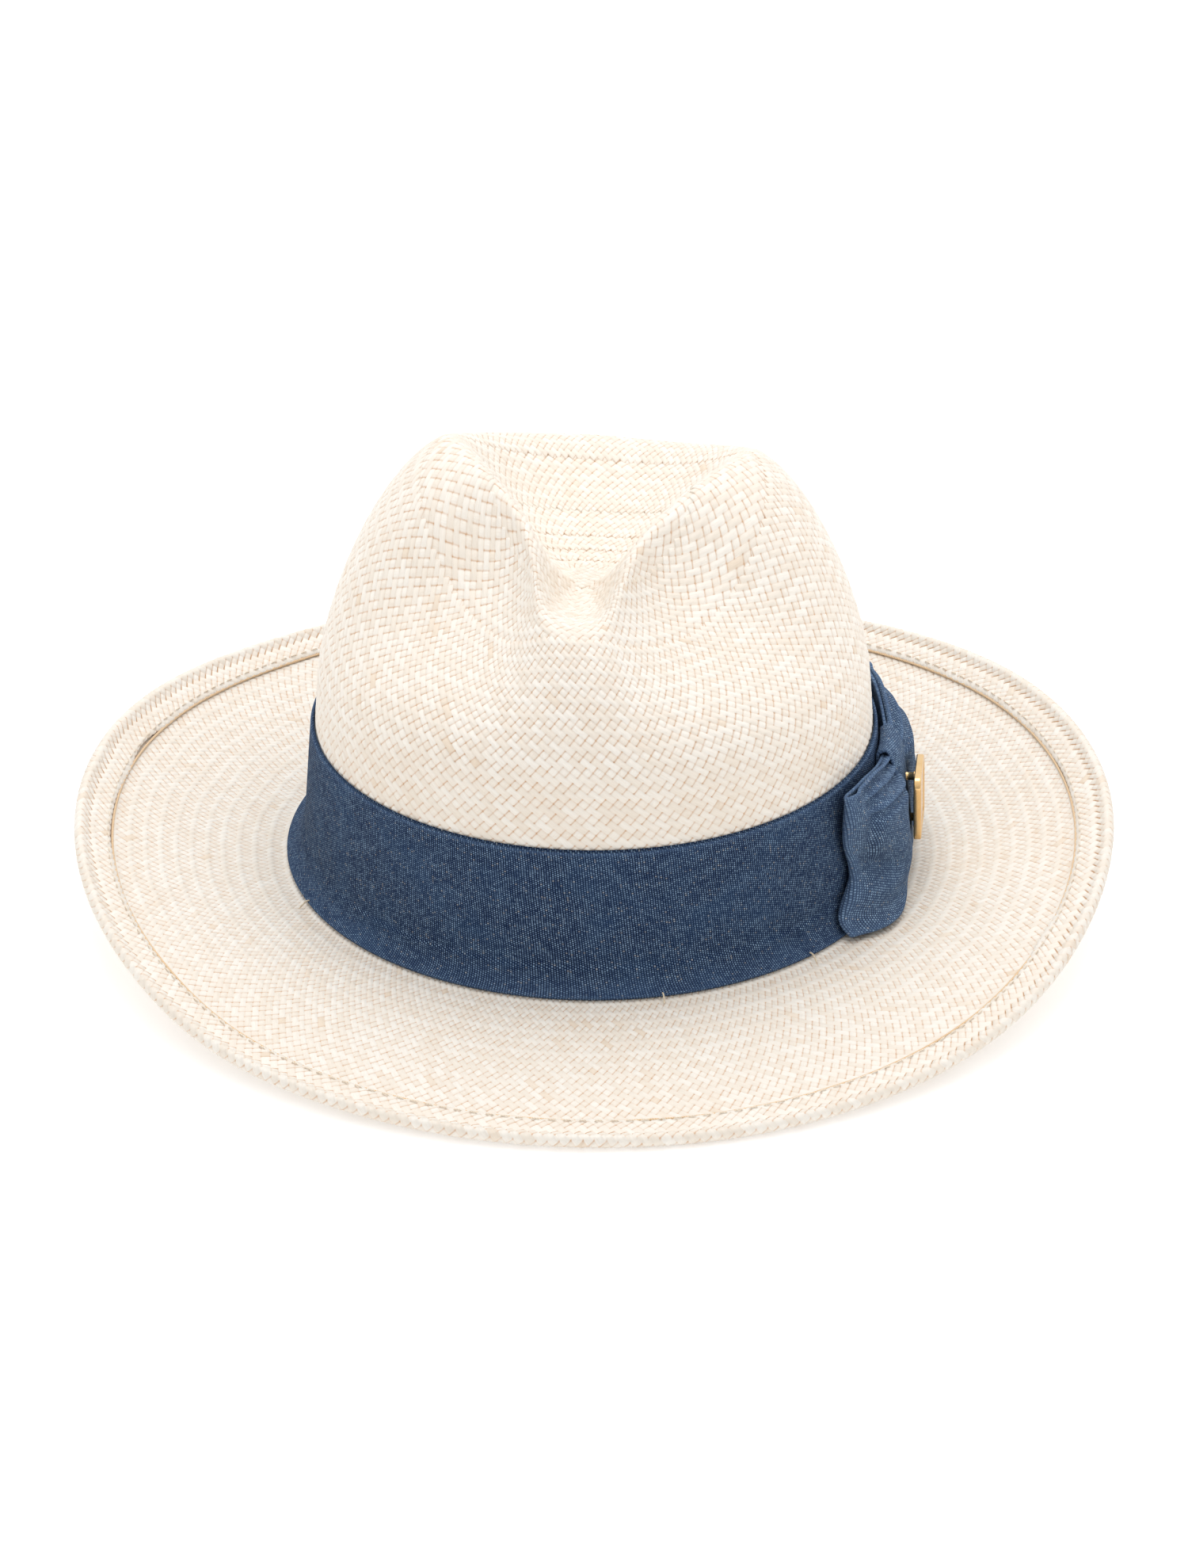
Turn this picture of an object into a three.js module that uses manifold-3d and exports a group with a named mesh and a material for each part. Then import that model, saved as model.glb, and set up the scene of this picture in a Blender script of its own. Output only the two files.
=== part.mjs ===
// Woven straw fedora with a turned-over brim hem, fabric hatband, side bow and
// a plain metal badge. Millimetres and degrees, +Z up, front of the hat toward -Y.
// Origin: centre of the outline seen from above, on the surface the hat rests on.
// Everything is laid out from the centre of the head opening, level with the brim
// break, and the whole group is moved to that origin at the end.
// An "angle" goes round the hat from the front (-Y) toward +X. An "offset" is
// a distance outward from the outer face of the straw.
import * as THREE from 'three';
import { mergeVertices } from 'three/addons/utils/BufferGeometryUtils.js';
import Module from 'manifold-3d';

const wasm = await Module();
wasm.setup();

// ---- driving dimensions ----------------------------------------------------
const GAP = 0.3;                // clearance between neighbouring pieces
const STRAW_T = 1.3;            // woven straw thickness
const CROWN_A = 84.5;           // outer half width of the crown at the brim break
const CROWN_B = 99.5;           // outer half length of the crown at the brim break
const TAPER_A = 0.0009;         // side wall taper per mm of height
const TAPER_B = 0.0010;         // front and back wall taper per mm of height
const WALL_TOP = 56;            // height where the wall starts to bend to the crease
const CREST_R = 4.5;            // rounding length of the crown crease crest
const CENTRE = [-2.5, -10, 88]; // lowest point of the crown top
const BREAK_R = 8;              // radius where crown turns into brim
const BRIM_A = 152.5;           // brim half width
const BRIM_FRONT = 170;         // centre to front edge
const BRIM_BACK = 168;          // centre to back edge
const REST_Z = -10.75;          // level of the flat resting patch under the front brim
const ORIGIN_SHIFT = [0, 1.09, -REST_Z];

const HEM_W = 12.2;             // width of the turned-over hem
const HEM_GAP = 0.4;            // open gap between the hem layer and the brim
const HEM_TOP = 1.7;            // top of the hem layer above the brim surface
const RAW_SHIFT = 0.6;          // raw edge, outward from its straw row
const FOLD_R = 0.75;            // inner radius of the fold that holds the wire
const FOLD_INSET = STRAW_T + FOLD_R; // fold centre, inward from the brim edge
const WIRE_R = 0.36;
const THREAD_R = 0.35;
const THREAD_LIFT = 0.12;       // gap between a thread and what it lies on
const HEM_THREAD_SHIFT = 2.1;   // hem thread, outward from the raw edge's straw row

const BAND_TOP = 41;            // hatband upper edge height
const BAND_T = 1.0;             // hatband thickness
const BAND_OUTER = GAP + BAND_T; // offset of the hatband's outer face
const BAND_CROWNING = 0.35;     // rise of the upper edge's middle above its corners

const SWEAT_T = 1.0;            // sweatband thickness
const SWEAT_TOP = 38;
const SWEAT_BOTTOM = 1.8;
const SWEAT_OFFSET = -STRAW_T - GAP; // offset of its outer face
const SWEAT_THREAD_Z = 5.2;
const REED_R = 0.55;
const REED_GAP = 0.2;           // between the reed and the sweatband's lower edge

const KNOT_ANGLE = 82.5;        // bow centre
const KNOT_HALF = 9.5;          // half width of the bow wrap
const WRAP_T = 0.9;             // bow wrap thickness
const BOW_T = 1.0;              // bow fabric thickness
const MM_PER_DEGREE = 1.735;    // travel along the band near the bow

const BADGE_W = 22;
const BADGE_H = 19.5;
const BADGE_T = 2.2;
const BADGE_R = 3;              // corner radius
const BADGE_Z = 21;
const BADGE_OUT = 11.2;         // badge centre, out from the hatband
const BADGE_TILT = 4.7;
const TILT_RISE = 0.35;         // share of the tilt taken up by the outward axis
const POST_R = 1.2;
const POST_PITCH = 13;
const POST_SIDES = 16;
const POST_BACK = 0.1;          // gap between the badge's back and a post
const POST_REACH = 6.15;        // inner end of a post, out from the hatband
const HOLE_OVERRUN = 0.3;       // post hole, inward past the post's end
const HOLE_OUTER = -1.4;        // outer end of a post hole, along the badge's axis
const WASHER_R = 2.6;
const WASHER_T = 0.5;
const WASHER_GAP = 0.25;        // round the post
const WASHER_SIDES = 20;

const TACK_ANGLES = [12, 42, 145, 195, 245, 295];
const TACK_R = 0.28;
const TACK_GAP = 0.45;          // tack centreline, out from the hatband
const TACK_FOOT = 2.2;          // foot of a tack, outward from the brim break

const GOLD = 0xd8b277;
const FINISH = {
  straw: { color: 0xf1e3d3, roughness: 0.75 },
  wire: { color: 0x9a9a9a, roughness: 0.4, metalness: 0.9 },
  thread: { color: 0xc79b6a, roughness: 0.8 },
  denim: { color: 0x45607f, roughness: 0.9 },
  leather: { color: 0xe9dfd0, roughness: 0.6 },
  reed: { color: 0xf3ead8, roughness: 0.5 },
  tack: { color: 0xe8d9c0, roughness: 0.8 },
  plate: { color: GOLD, roughness: 0.25, metalness: 1 },
  post: { color: GOLD, roughness: 0.3, metalness: 1 },
  washer: { color: GOLD, roughness: 0.35, metalness: 1 },
};

// ---- measured tables, keyed by angle ----------------------------------------
// crease crest point: x, y, z
const RIDGE = {
  0: [-4, -63.5, 94], 6: [1, -61, 94.6], 12: [4, -57, 96], 20: [6.5, -50, 99],
  30: [9, -41.5, 102.5], 45: [12.5, -30, 106], 60: [18, -17.5, 109], 75: [25, -4, 111.5],
  90: [34, 10, 113.8], 105: [41.5, 24, 113.5], 120: [44, 38, 110.5], 135: [40, 51, 106.5],
  150: [30, 60, 103], 165: [16, 65.5, 101.5], 180: [0, 67.5, 102], 195: [-15, 66, 103.5],
  210: [-28, 60.5, 106.5], 225: [-36.5, 51, 110.5], 240: [-40, 38, 115], 255: [-38, 24, 118],
  270: [-33, 10, 118], 285: [-26.5, -4, 115.5], 300: [-21, -17.5, 111.5],
  315: [-18.2, -30, 107.5], 328: [-17.2, -40, 103.5], 338: [-16.2, -48.5, 100],
  346: [-14.2, -56, 97], 353: [-9.6, -61.5, 94.8],
};
// bend height, shoulder fraction of the span, shoulder drop below the crest
const WALL = {
  0: [72, .34, 2.5], 6: [72, .32, 4], 12: [75, .24, 10], 20: [79, .15, 18], 30: [82, .09, 25],
  42: [83, .06, 28], 54: [82, .08, 27], 66: [79, .20, 19], 78: [77, .44, 8], 90: [76, .58, 4],
  120: [76, .58, 4], 135: [76, .58, 4], 150: [76, .59, 2], 165: [76, .59, 0],
  180: [76, .59, -1], 195: [76, .59, 0], 210: [76, .59, 2], 225: [76, .58, 4],
  240: [76, .58, 4], 268: [76, .58, 4], 280: [77, .44, 8], 292: [79, .20, 19],
  305: [82, .08, 27], 318: [83, .06, 28], 328: [82, .09, 26], 336: [79, .15, 19],
  343: [75, .24, 11], 350: [72, .33, 4],
};
// reach of the crown top inward from the crest, and outward from its lowest point
const REACH = {
  0: [5, 32], 30: [4, 14], 60: [4, 14], 90: [6, 22], 120: [7, 32], 150: [7, 46],
  180: [7, 56], 210: [7, 46], 240: [7, 32], 270: [6, 22], 300: [4, 14], 330: [4, 14],
};
// height of the brim edge
const EDGE = {
  0: [-9.8], 15: [-9.8], 30: [-8.2], 45: [-5], 60: [1.5], 75: [9.5], 90: [14.5], 105: [17],
  120: [17.2], 135: [14.8], 150: [12], 165: [10.2], 180: [9.5], 195: [10], 210: [11],
  225: [12.5], 240: [15.3], 255: [16.3], 270: [14], 285: [9], 300: [2.5], 315: [-4.6],
  330: [-7.6], 345: [-9.2],
};

// ---- maths helpers ---------------------------------------------------------
const UP = [0, 0, 1];
const cosD = (degrees) => Math.cos(degrees * Math.PI / 180);
const sinD = (degrees) => Math.sin(degrees * Math.PI / 180);
const sub = (a, b) => [a[0] - b[0], a[1] - b[1], a[2] - b[2]];
const add = (a, b, scale = 1) => [a[0] + b[0] * scale, a[1] + b[1] * scale, a[2] + b[2] * scale];
const dot = (a, b) => a[0] * b[0] + a[1] * b[1] + a[2] * b[2];
const cross = (a, b) => [
  a[1] * b[2] - a[2] * b[1], a[2] * b[0] - a[0] * b[2], a[0] * b[1] - a[1] * b[0],
];
const norm = (a) => Math.hypot(...a);
const unit = (a) => {
  const length = norm(a) || 1;
  return a.map((v) => v / length);
};
const clamp = (v, low, high) => Math.min(high, Math.max(low, v));
const smooth = (from, to, v) => {
  const t = clamp((v - from) / (to - from), 0, 1);
  return t * t * (3 - 2 * t);
};
function bezier(a, b, c, d, t) {
  const s = 1 - t;
  return [0, 1, 2].map((i) => (
    a[i] * s ** 3 + 3 * b[i] * t * s * s + 3 * c[i] * t * t * s + d[i] * t ** 3));
}

// periodic cubic spline through a table keyed by angle; every entry is a list of values
function periodic(table) {
  const keys = Object.keys(table).map(Number).sort((a, b) => a - b);
  const n = keys.length;
  const values = keys.map((key) => table[key]);
  const step = keys.map((key, i) => (i + 1 < n ? keys[i + 1] : keys[0] + 360) - key);

  // linear system for the second derivatives at the keys
  const matrix = keys.map(() => new Array(n).fill(0));
  const right = keys.map((_, i) => {
    const prev = (i + n - 1) % n;
    const next = (i + 1) % n;
    matrix[i][prev] += step[prev];
    matrix[i][i] += 2 * (step[prev] + step[i]);
    matrix[i][next] += step[i];
    return values[i].map((v, c) => 6 * (
      (values[next][c] - v) / step[i] - (v - values[prev][c]) / step[prev]));
  });
  for (let i = 0; i < n; i++) {
    for (let j = i + 1; j < n; j++) {
      const factor = matrix[j][i] / matrix[i][i];
      for (let k = i; k < n; k++) matrix[j][k] -= factor * matrix[i][k];
      right[j] = right[j].map((v, c) => v - factor * right[i][c]);
    }
  }
  const second = [];
  for (let i = n - 1; i >= 0; i--) {
    second[i] = right[i].map((v, c) => {
      let sum = v;
      for (let k = i + 1; k < n; k++) sum -= matrix[i][k] * second[k][c];
      return sum / matrix[i][i];
    });
  }

  return (angle) => {
    const a = (((angle - keys[0]) % 360) + 360) % 360 + keys[0];
    let i = n - 1;
    while (i > 0 && a < keys[i]) i--;
    const next = (i + 1) % n;
    const s = (keys[i] + step[i] - a) / step[i];
    const t = 1 - s;
    return values[i].map((v, c) => s * v + t * values[next][c]
      + ((s ** 3 - s) * second[i][c] + (t ** 3 - t) * second[next][c]) * step[i] ** 2 / 6);
  };
}

// smooth curve through (x, y) pairs, level at both ends and constant beyond them
function curve(pairs) {
  const last = pairs.length - 1;
  const slope = (j) => (j === 0 || j === last ? 0
    : (pairs[j + 1][1] - pairs[j - 1][1]) / (pairs[j + 1][0] - pairs[j - 1][0]));
  return (x) => {
    if (x <= pairs[0][0]) return pairs[0][1];
    if (x >= pairs[last][0]) return pairs[last][1];
    let i = 0;
    while (x > pairs[i + 1][0]) i++;
    const width = pairs[i + 1][0] - pairs[i][0];
    const t = (x - pairs[i][0]) / width;
    return pairs[i][1] * (1 + 2 * t) * (1 - t) ** 2 + slope(i) * width * t * (1 - t) ** 2
      + pairs[i + 1][1] * t * t * (3 - 2 * t) + slope(i + 1) * width * t * t * (t - 1);
  };
}

// ---- mesh helpers: a solid is { pos: points, tri: flat triangle indices } ------
// turns all triangles outward
function orient(solid) {
  const { pos, tri } = solid;
  let volume = 0;
  for (let i = 0; i < tri.length; i += 3) {
    volume += dot(pos[tri[i]], cross(pos[tri[i + 1]], pos[tri[i + 2]]));
  }
  if (volume < 0) {
    for (let i = 0; i < tri.length; i += 3) [tri[i], tri[i + 1]] = [tri[i + 1], tri[i]];
  }
  return solid;
}
function meshOf(name, solid, finish) {
  const { pos, tri } = orient(solid);
  const geometry = new THREE.BufferGeometry();
  geometry.setAttribute('position', new THREE.Float32BufferAttribute(pos.flat(), 3));
  geometry.setIndex(tri);
  geometry.computeVertexNormals();
  const mesh = new THREE.Mesh(geometry, new THREE.MeshStandardMaterial(finish));
  mesh.name = name;
  return mesh;
}
const manifoldOf = (coordinates, indices) => new wasm.Manifold(new wasm.Mesh({
  numProp: 3,
  vertProperties: new Float32Array(coordinates),
  triVerts: new Uint32Array(indices),
}));
function toManifold(solid) {
  const { pos, tri } = orient(solid);
  return manifoldOf(pos.flat(), tri);
}
function fromManifold(manifold) {
  const { vertProperties, triVerts, numProp } = manifold.getMesh();
  const pos = [];
  for (let i = 0; i < vertProperties.length; i += numProp) {
    pos.push(Array.from(vertProperties.slice(i, i + 3)));
  }
  return { pos, tri: Array.from(triVerts) };
}

const pushQuad = (tri, a, b, c, d) => tri.push(a, b, c, a, c, d);

// quads between closed loops; rows holds one loop each, all with the same point count
function stitch(rows, closedRows) {
  const tri = [];
  const n = rows[0].length;
  const m = rows.length;
  for (let j = 0; j < (closedRows ? m : m - 1); j++) {
    const k = (j + 1) % m;
    for (let i = 0; i < n; i++) {
      const next = (i + 1) % n;
      pushQuad(tri, j * n + i, j * n + next, k * n + next, k * n + i);
    }
  }
  return { pos: rows.flat(), tri };
}
// stitched loops, closed by a fan to a point at each end
function capped(rows, startPoint, endPoint) {
  const { pos, tri } = stitch(rows, false);
  const n = rows[0].length;
  const lastRow = (rows.length - 1) * n;
  const start = pos.push(startPoint) - 1;
  const end = pos.push(endPoint) - 1;
  for (let i = 0; i < n; i++) {
    const next = (i + 1) % n;
    tri.push(start, next, i, end, lastRow + i, lastRow + next);
  }
  return { pos, tri };
}
// closed ring whose section is a closed polygon given for every station
function sectionRing(stations, section) {
  const sections = stations.map(section);
  return stitch(sections[0].map((_, j) => sections.map((points) => points[j])), true);
}
// round section as a polygon in the plane of two axes
const roundSection = (centre, axisA, axisB, radius, sides) => (
  Array.from({ length: sides }, (_, k) => {
    const d = 360 / sides * k;
    return add(add(centre, axisA, radius * cosD(d)), axisB, radius * sinD(d));
  }));
// sheet given by mid surface points grid[i][j], thickened both ways
function sheet(grid, thickness) {
  const ni = grid.length;
  const nj = grid[0].length;
  const normals = grid.map((line, i) => line.map((_, j) => unit(cross(
    sub(grid[Math.min(i + 1, ni - 1)][j], grid[Math.max(i - 1, 0)][j]),
    sub(line[Math.min(j + 1, nj - 1)], line[Math.max(j - 1, 0)])))));
  const pos = [0.5, -0.5].flatMap((side) => (
    grid.flatMap((line, i) => line.map((p, j) => add(p, normals[i][j], side * thickness)))));
  const id = (face, i, j) => face * ni * nj + i * nj + j;
  const tri = [];
  for (let i = 0; i < ni - 1; i++) {
    for (let j = 0; j < nj - 1; j++) {
      pushQuad(tri, id(0, i, j), id(0, i + 1, j), id(0, i + 1, j + 1), id(0, i, j + 1));
      pushQuad(tri, id(1, i, j), id(1, i, j + 1), id(1, i + 1, j + 1), id(1, i + 1, j));
    }
  }
  const rim = [];
  for (let i = 0; i < ni - 1; i++) rim.push([i, 0]);
  for (let j = 0; j < nj - 1; j++) rim.push([ni - 1, j]);
  for (let i = ni - 1; i > 0; i--) rim.push([i, nj - 1]);
  for (let j = nj - 1; j > 0; j--) rim.push([0, j]);
  rim.forEach((here, k) => {
    const next = rim[(k + 1) % rim.length];
    pushQuad(tri, id(0, ...here), id(1, ...here), id(1, ...next), id(0, ...next));
  });
  return { pos, tri };
}

// ---- crown and brim surface ----------------------------------------------------
const ridgeAt = periodic(RIDGE);
const wallAt = periodic(WALL);
const reachAt = periodic(REACH);
const edgeAt = periodic(EDGE);

const ellipse = (angle, a, b, z) => [a * sinD(angle), -b * cosD(angle), z];
const wallPoint = (angle, z) => (
  ellipse(angle, CROWN_A * (1 - TAPER_A * z), CROWN_B * (1 - TAPER_B * z), z));
const outward = (angle) => unit([sinD(angle) / CROWN_A, -cosD(angle) / CROWN_B, 0]);
const offWall = (angle, z, offset) => add(wallPoint(angle, z), outward(angle), offset);
// a point measured outward from the hatband's outer face
const offBand = (angle, z, out) => offWall(angle, z, BAND_OUTER + out);

// wall above WALL_TOP (t 0 to 1, upward), rounded crest, and top (t 0 to 1, to CENTRE)
function crownAt(angle) {
  const ridge = ridgeAt(angle);
  const [bendZ, shoulder, drop] = wallAt(angle);
  const [crestReach, centreReach] = reachAt(angle);

  const foot = wallPoint(angle, WALL_TOP);
  const slopeRun = 10; // height over which the wall's slope is taken
  const slope = sub(foot, wallPoint(angle, WALL_TOP - slopeRun)).map((v) => v / slopeRun);
  const bend = add(foot, slope, bendZ - WALL_TOP);
  const shoulderPoint = [
    ridge[0] - (ridge[0] - foot[0]) * shoulder,
    ridge[1] - (ridge[1] - foot[1]) * shoulder,
    ridge[2] - drop,
  ];

  const toCentre = [CENTRE[0] - ridge[0], CENTRE[1] - ridge[1], 0];
  const inward = unit(toCentre);
  const nearCrest = add(ridge, inward, crestReach);
  const nearCentre = add(CENTRE, inward, -Math.min(centreReach, 0.75 * norm(toCentre)));

  // both curves stop short of the ridge, to leave room for the rounding
  const wallEnd = clamp(1 - CREST_R / (3 * norm(sub(ridge, shoulderPoint))), 0.5, 0.97);
  const topStart = Math.min(0.3, CREST_R / (3 * norm(sub(nearCrest, ridge))));
  const wall = (t) => bezier(foot, bend, shoulderPoint, ridge, t * wallEnd);
  const top = (t) => bezier(ridge, nearCrest, nearCentre, CENTRE, topStart + (1 - topStart) * t);
  const below = wall(1);
  const inside = top(0);
  const crest = ridge.map((v, i) => (below[i] + 2 * v + inside[i]) / 4);
  return { wall, top, crest };
}
// q runs from 0 at the wall to 90 at the brim
function breakPoint(angle, q) {
  const offset = BREAK_R * (1 - cosD(q));
  return ellipse(angle, CROWN_A + offset, CROWN_B + offset, BREAK_R * (1 - sinD(q)));
}
// brim curve, t from 0 at the break to 1 at the edge, and its length in plan
function brimAt(angle) {
  const z = edgeAt(angle)[0];
  const edge = ellipse(angle, BRIM_A, cosD(angle) > 0 ? BRIM_FRONT : BRIM_BACK, z);
  const start = ellipse(angle, CROWN_A + BREAK_R, CROWN_B + BREAK_R, 0);
  const run = [edge[0] - start[0], edge[1] - start[1], 0];
  const length = norm(run);
  const direction = unit(run);
  const nearStart = add(start, direction, length * 0.4);
  const nearEdge = add(edge, direction, -length * 0.3);
  nearStart[2] = z < 0 ? z * 0.25 : z * 0.10 - 0.5;
  nearEdge[2] = z < 0 ? z * 0.8 : z * 0.45;
  return { length, at: (t) => bezier(start, nearStart, nearEdge, edge, t) };
}

// ---- straw lattice: outer surface points from the crown top to the brim edge ----
// columns every 4 degrees round the front, wider round the back
const STRAW_ANGLES = [
  ...Array.from({ length: 32 }, (_, k) => -64 + 4 * k),
  ...Array.from({ length: 42 }, (_, k) => 64 + k * (232 / 42)),
];
const TOP_T = [0.84, 0.62, 0.4, 0.18, 0];
const WALL_T = [1, 0.86, 0.72, 0.56, 0.4, 0.22, 0];
const LOW_Z = [26, BREAK_R];
const BREAK_Q = [25, 50, 72, 90];
const BRIM_T = [0.14, 0.36, 0.6];
// distances inward from the brim edge
const HEM_INSETS = [HEM_W + RAW_SHIFT, 8.5, 5.2, 2.8, FOLD_INSET, 0];

const columns = STRAW_ANGLES.map((angle) => {
  const crown = crownAt(angle);
  const brim = brimAt(angle);
  return [
    ...TOP_T.map((t) => crown.top(t)),
    crown.crest,
    ...WALL_T.map((t) => crown.wall(t)),
    ...LOW_Z.map((z) => wallPoint(angle, z)),
    ...BREAK_Q.map((q) => breakPoint(angle, q)),
    ...BRIM_T.map((t) => brim.at(t)),
    ...HEM_INSETS.map((inset) => brim.at(1 - inset / brim.length)),
  ];
});
const columnIds = columns.map((_, i) => i);
const EDGE_ROW = columns[0].length - 1;
const FOLD_ROW = EDGE_ROW - 1;
const HEM_ROW = FOLD_ROW - 1;   // outermost row of the flat hem
const RAW_ROW = HEM_ROW - 3;    // row beside the hem's raw edge

// normals point away from the head: outward on the wall, up on the brim
const normals = columns.map((points, i) => points.map((_, j) => {
  const count = columns.length;
  const around = sub(columns[(i + 1) % count][j], columns[(i + count - 1) % count][j]);
  const down = sub(points[Math.min(j + 1, EDGE_ROW)], points[Math.max(j - 1, 0)]);
  return unit(cross(down, around));
}));
const edgeward = columns.map((points) => unit(sub(points[EDGE_ROW], points[FOLD_ROW])));
const offStraw = (i, j, height) => add(columns[i][j], normals[i][j], height);
const nearEdge = (i, inset, height) => (
  add(add(columns[i][EDGE_ROW], edgeward[i], -inset), normals[i][FOLD_ROW], height));

// ---- straw body: crown, brim and turned-over hem in one weave ------------------
const FOLD_INSIDE = [-40, 0, 40, 90];
const FOLD_OUTSIDE = [90, 50, 20, -10, -45, -90];
// lattice row, height above the brim, shift toward the edge; under side, then top side
const HEM_LAYER = [
  [HEM_ROW, 1.25, 0], [HEM_ROW - 1, HEM_GAP, 0], [HEM_ROW - 2, HEM_GAP, 0],
  [RAW_ROW, HEM_GAP, RAW_SHIFT], [RAW_ROW, HEM_TOP, 0.9],
  [HEM_ROW - 2, HEM_TOP, 0], [HEM_ROW - 1, HEM_TOP + 0.05, 0], [HEM_ROW, 2.5, 0],
];

function strawSkin() {
  const rows = [];
  const addRow = (pointAt) => rows.push(columnIds.map(pointAt));
  const addFold = (radius, degrees) => degrees.forEach((d) => addRow((i) => (
    nearEdge(i, FOLD_INSET - radius * cosD(d), FOLD_R + radius * sinD(d)))));

  for (let j = 0; j <= FOLD_ROW; j++) addRow((i) => offStraw(i, j, 0));
  addFold(FOLD_R, FOLD_INSIDE);
  HEM_LAYER.forEach(([j, height, shift]) => (
    addRow((i) => add(offStraw(i, j, height), edgeward[i], shift))));
  addFold(FOLD_R + STRAW_T, FOLD_OUTSIDE);
  for (let j = HEM_ROW; j >= 0; j--) addRow((i) => offStraw(i, j, -STRAW_T));
  return capped(rows, CENTRE, add(CENTRE, UP, -STRAW_T));
}
// the lowest part of the underside is cut level as a resting patch
function strawBody() {
  const width = 400;
  const depth = 60;
  const box = new THREE.BoxGeometry(width, width, depth);
  box.translate(0, 0, REST_Z - depth / 2);
  box.deleteAttribute('normal');
  box.deleteAttribute('uv');
  const block = mergeVertices(box);
  const cutter = manifoldOf(block.attributes.position.array, block.index.array);
  return fromManifold(toManifold(strawSkin()).subtract(cutter));
}

// wire lying in the fold of the hem
const brimWire = () => sectionRing(columnIds, (i) => roundSection(
  nearEdge(i, FOLD_INSET, FOLD_R), edgeward[i], normals[i][FOLD_ROW], WIRE_R, 6));

// stitching on top of the hem, just outside its raw edge
const hemThread = () => sectionRing(columnIds, (i) => {
  const onHem = offStraw(i, RAW_ROW, HEM_TOP + THREAD_LIFT + THREAD_R);
  const centre = add(onHem, edgeward[i], HEM_THREAD_SHIFT);
  return roundSection(centre, edgeward[i], normals[i][RAW_ROW], THREAD_R, 4);
});

// ---- hatband and sweatband --------------------------------------------------
const BAND_ANGLES = Array.from({ length: 72 }, (_, k) => k * 5);

// point at an offset from the break, q from 0 at the wall to 90 at the brim
function offBreak(angle, q, offset) {
  const radius = BREAK_R - offset;
  const foot = ellipse(angle, CROWN_A, CROWN_B, BREAK_R - radius * sinD(q));
  return add(foot, outward(angle), BREAK_R - radius * cosD(q));
}
// the hatband follows the wall and flares over the break
function hatband() {
  const profile = (angle, offset) => [
    ...[BAND_TOP, 24, BREAK_R].map((z) => offWall(angle, z, offset)),
    ...[30, 56, 76].map((q) => offBreak(angle, q, offset)),
  ];
  return sectionRing(BAND_ANGLES, (angle) => [
    ...profile(angle, GAP),
    ...profile(angle, BAND_OUTER).reverse(),
    offWall(angle, BAND_TOP + BAND_CROWNING, GAP + BAND_T / 2),
  ]);
}
const sweatband = () => sectionRing(BAND_ANGLES, (angle) => [
  offWall(angle, SWEAT_TOP, SWEAT_OFFSET),
  offWall(angle, SWEAT_BOTTOM, SWEAT_OFFSET),
  offWall(angle, SWEAT_BOTTOM, SWEAT_OFFSET - SWEAT_T),
  offWall(angle, SWEAT_TOP, SWEAT_OFFSET - SWEAT_T),
]);
// cord running round the wall at one height
const wallCord = (z, offset, radius, sides) => sectionRing(BAND_ANGLES, (angle) => (
  roundSection(offWall(angle, z, offset), outward(angle), UP, radius, sides)));
// reed under the sweatband's lower edge
const sweatReed = () => wallCord(
  SWEAT_BOTTOM - REED_GAP - REED_R, SWEAT_OFFSET - SWEAT_T / 2, REED_R, 6);
// stitching on the sweatband's inner face
const sweatThread = () => wallCord(
  SWEAT_THREAD_Z, SWEAT_OFFSET - SWEAT_T - THREAD_LIFT - THREAD_R, THREAD_R, 4);

// ---- bow loops -----------------------------------------------------------------
// bottom and height give the tip's z range; tipAngle and tipOut (out from the
// hatband) are curves over z
const LOOPS = [
  {
    name: 'bow_front_loop',
    side: -1,
    bottom: 1.6,
    height: 39.4,
    tipAngle: curve([
      [-1, 51.6], [1, 51.7], [5, 52.4], [9, 54.3], [15, 56.8], [23, 56], [32, 55], [41, 54.8]]),
    tipOut: curve([[0, 8.2], [5, 3.6], [9, 2.4], [15, 2.6], [23, 2.6], [32, 3.4], [41, 4.6]]),
  },
  {
    name: 'bow_rear_loop',
    side: 1,
    bottom: 1.9,
    height: 41,
    tipAngle: curve([[-1, 110.5], [4, 111.2], [12, 113], [20, 111.5], [30, 110], [43, 112]]),
    tipOut: curve([[0, 7], [6, 3.2], [14, 2.8], [28, 3], [43, 4]]),
  },
];
const LOOP_STEPS = 26;      // along the fabric, knot to tip and back
const LOOP_CROSS_STEPS = 12; // from lower to upper edge
const LAYER_END = 0.46;     // share of the fabric in each layer; the rest is the fold
const TIP_FOLD_R = 1.25;    // half the spacing of the layers at the tip
const LAYER_REACH = 0.97;   // share of the way to the tip where the layers end
const UNDER_WRAP = 0.19;    // share of a layer lying under the wrap
const KNOT_END = 1.0;       // fabric ends, along the band from the bow centre
const KNOT_BOTTOM = 5.8;
const KNOT_HEIGHT = 29.8;
const OUTER_KNOT_OUT = 5.0; // outer layer at the knot, out from the hatband
const INNER_CLEAR = 1.2;    // least distance of the inner layer from the flare
const OUTER_CLEAR = 3.4;    // and of the outer layer
const FLARE_LOWEST = 1.6;   // the flare grows no further below this height

const alongBand = (angle, mm) => angle + mm / MM_PER_DEGREE;

// how far the hatband flares out at the break, taken a little below z
function flareBelow(z) {
  const height = z - 0.5;
  if (height >= BREAK_R) return 0;
  const radius = BREAK_R - BAND_OUTER;
  const drop = BREAK_R - Math.max(height, FLARE_LOWEST);
  return radius - Math.sqrt(Math.max(0, radius ** 2 - drop ** 2));
}
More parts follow.
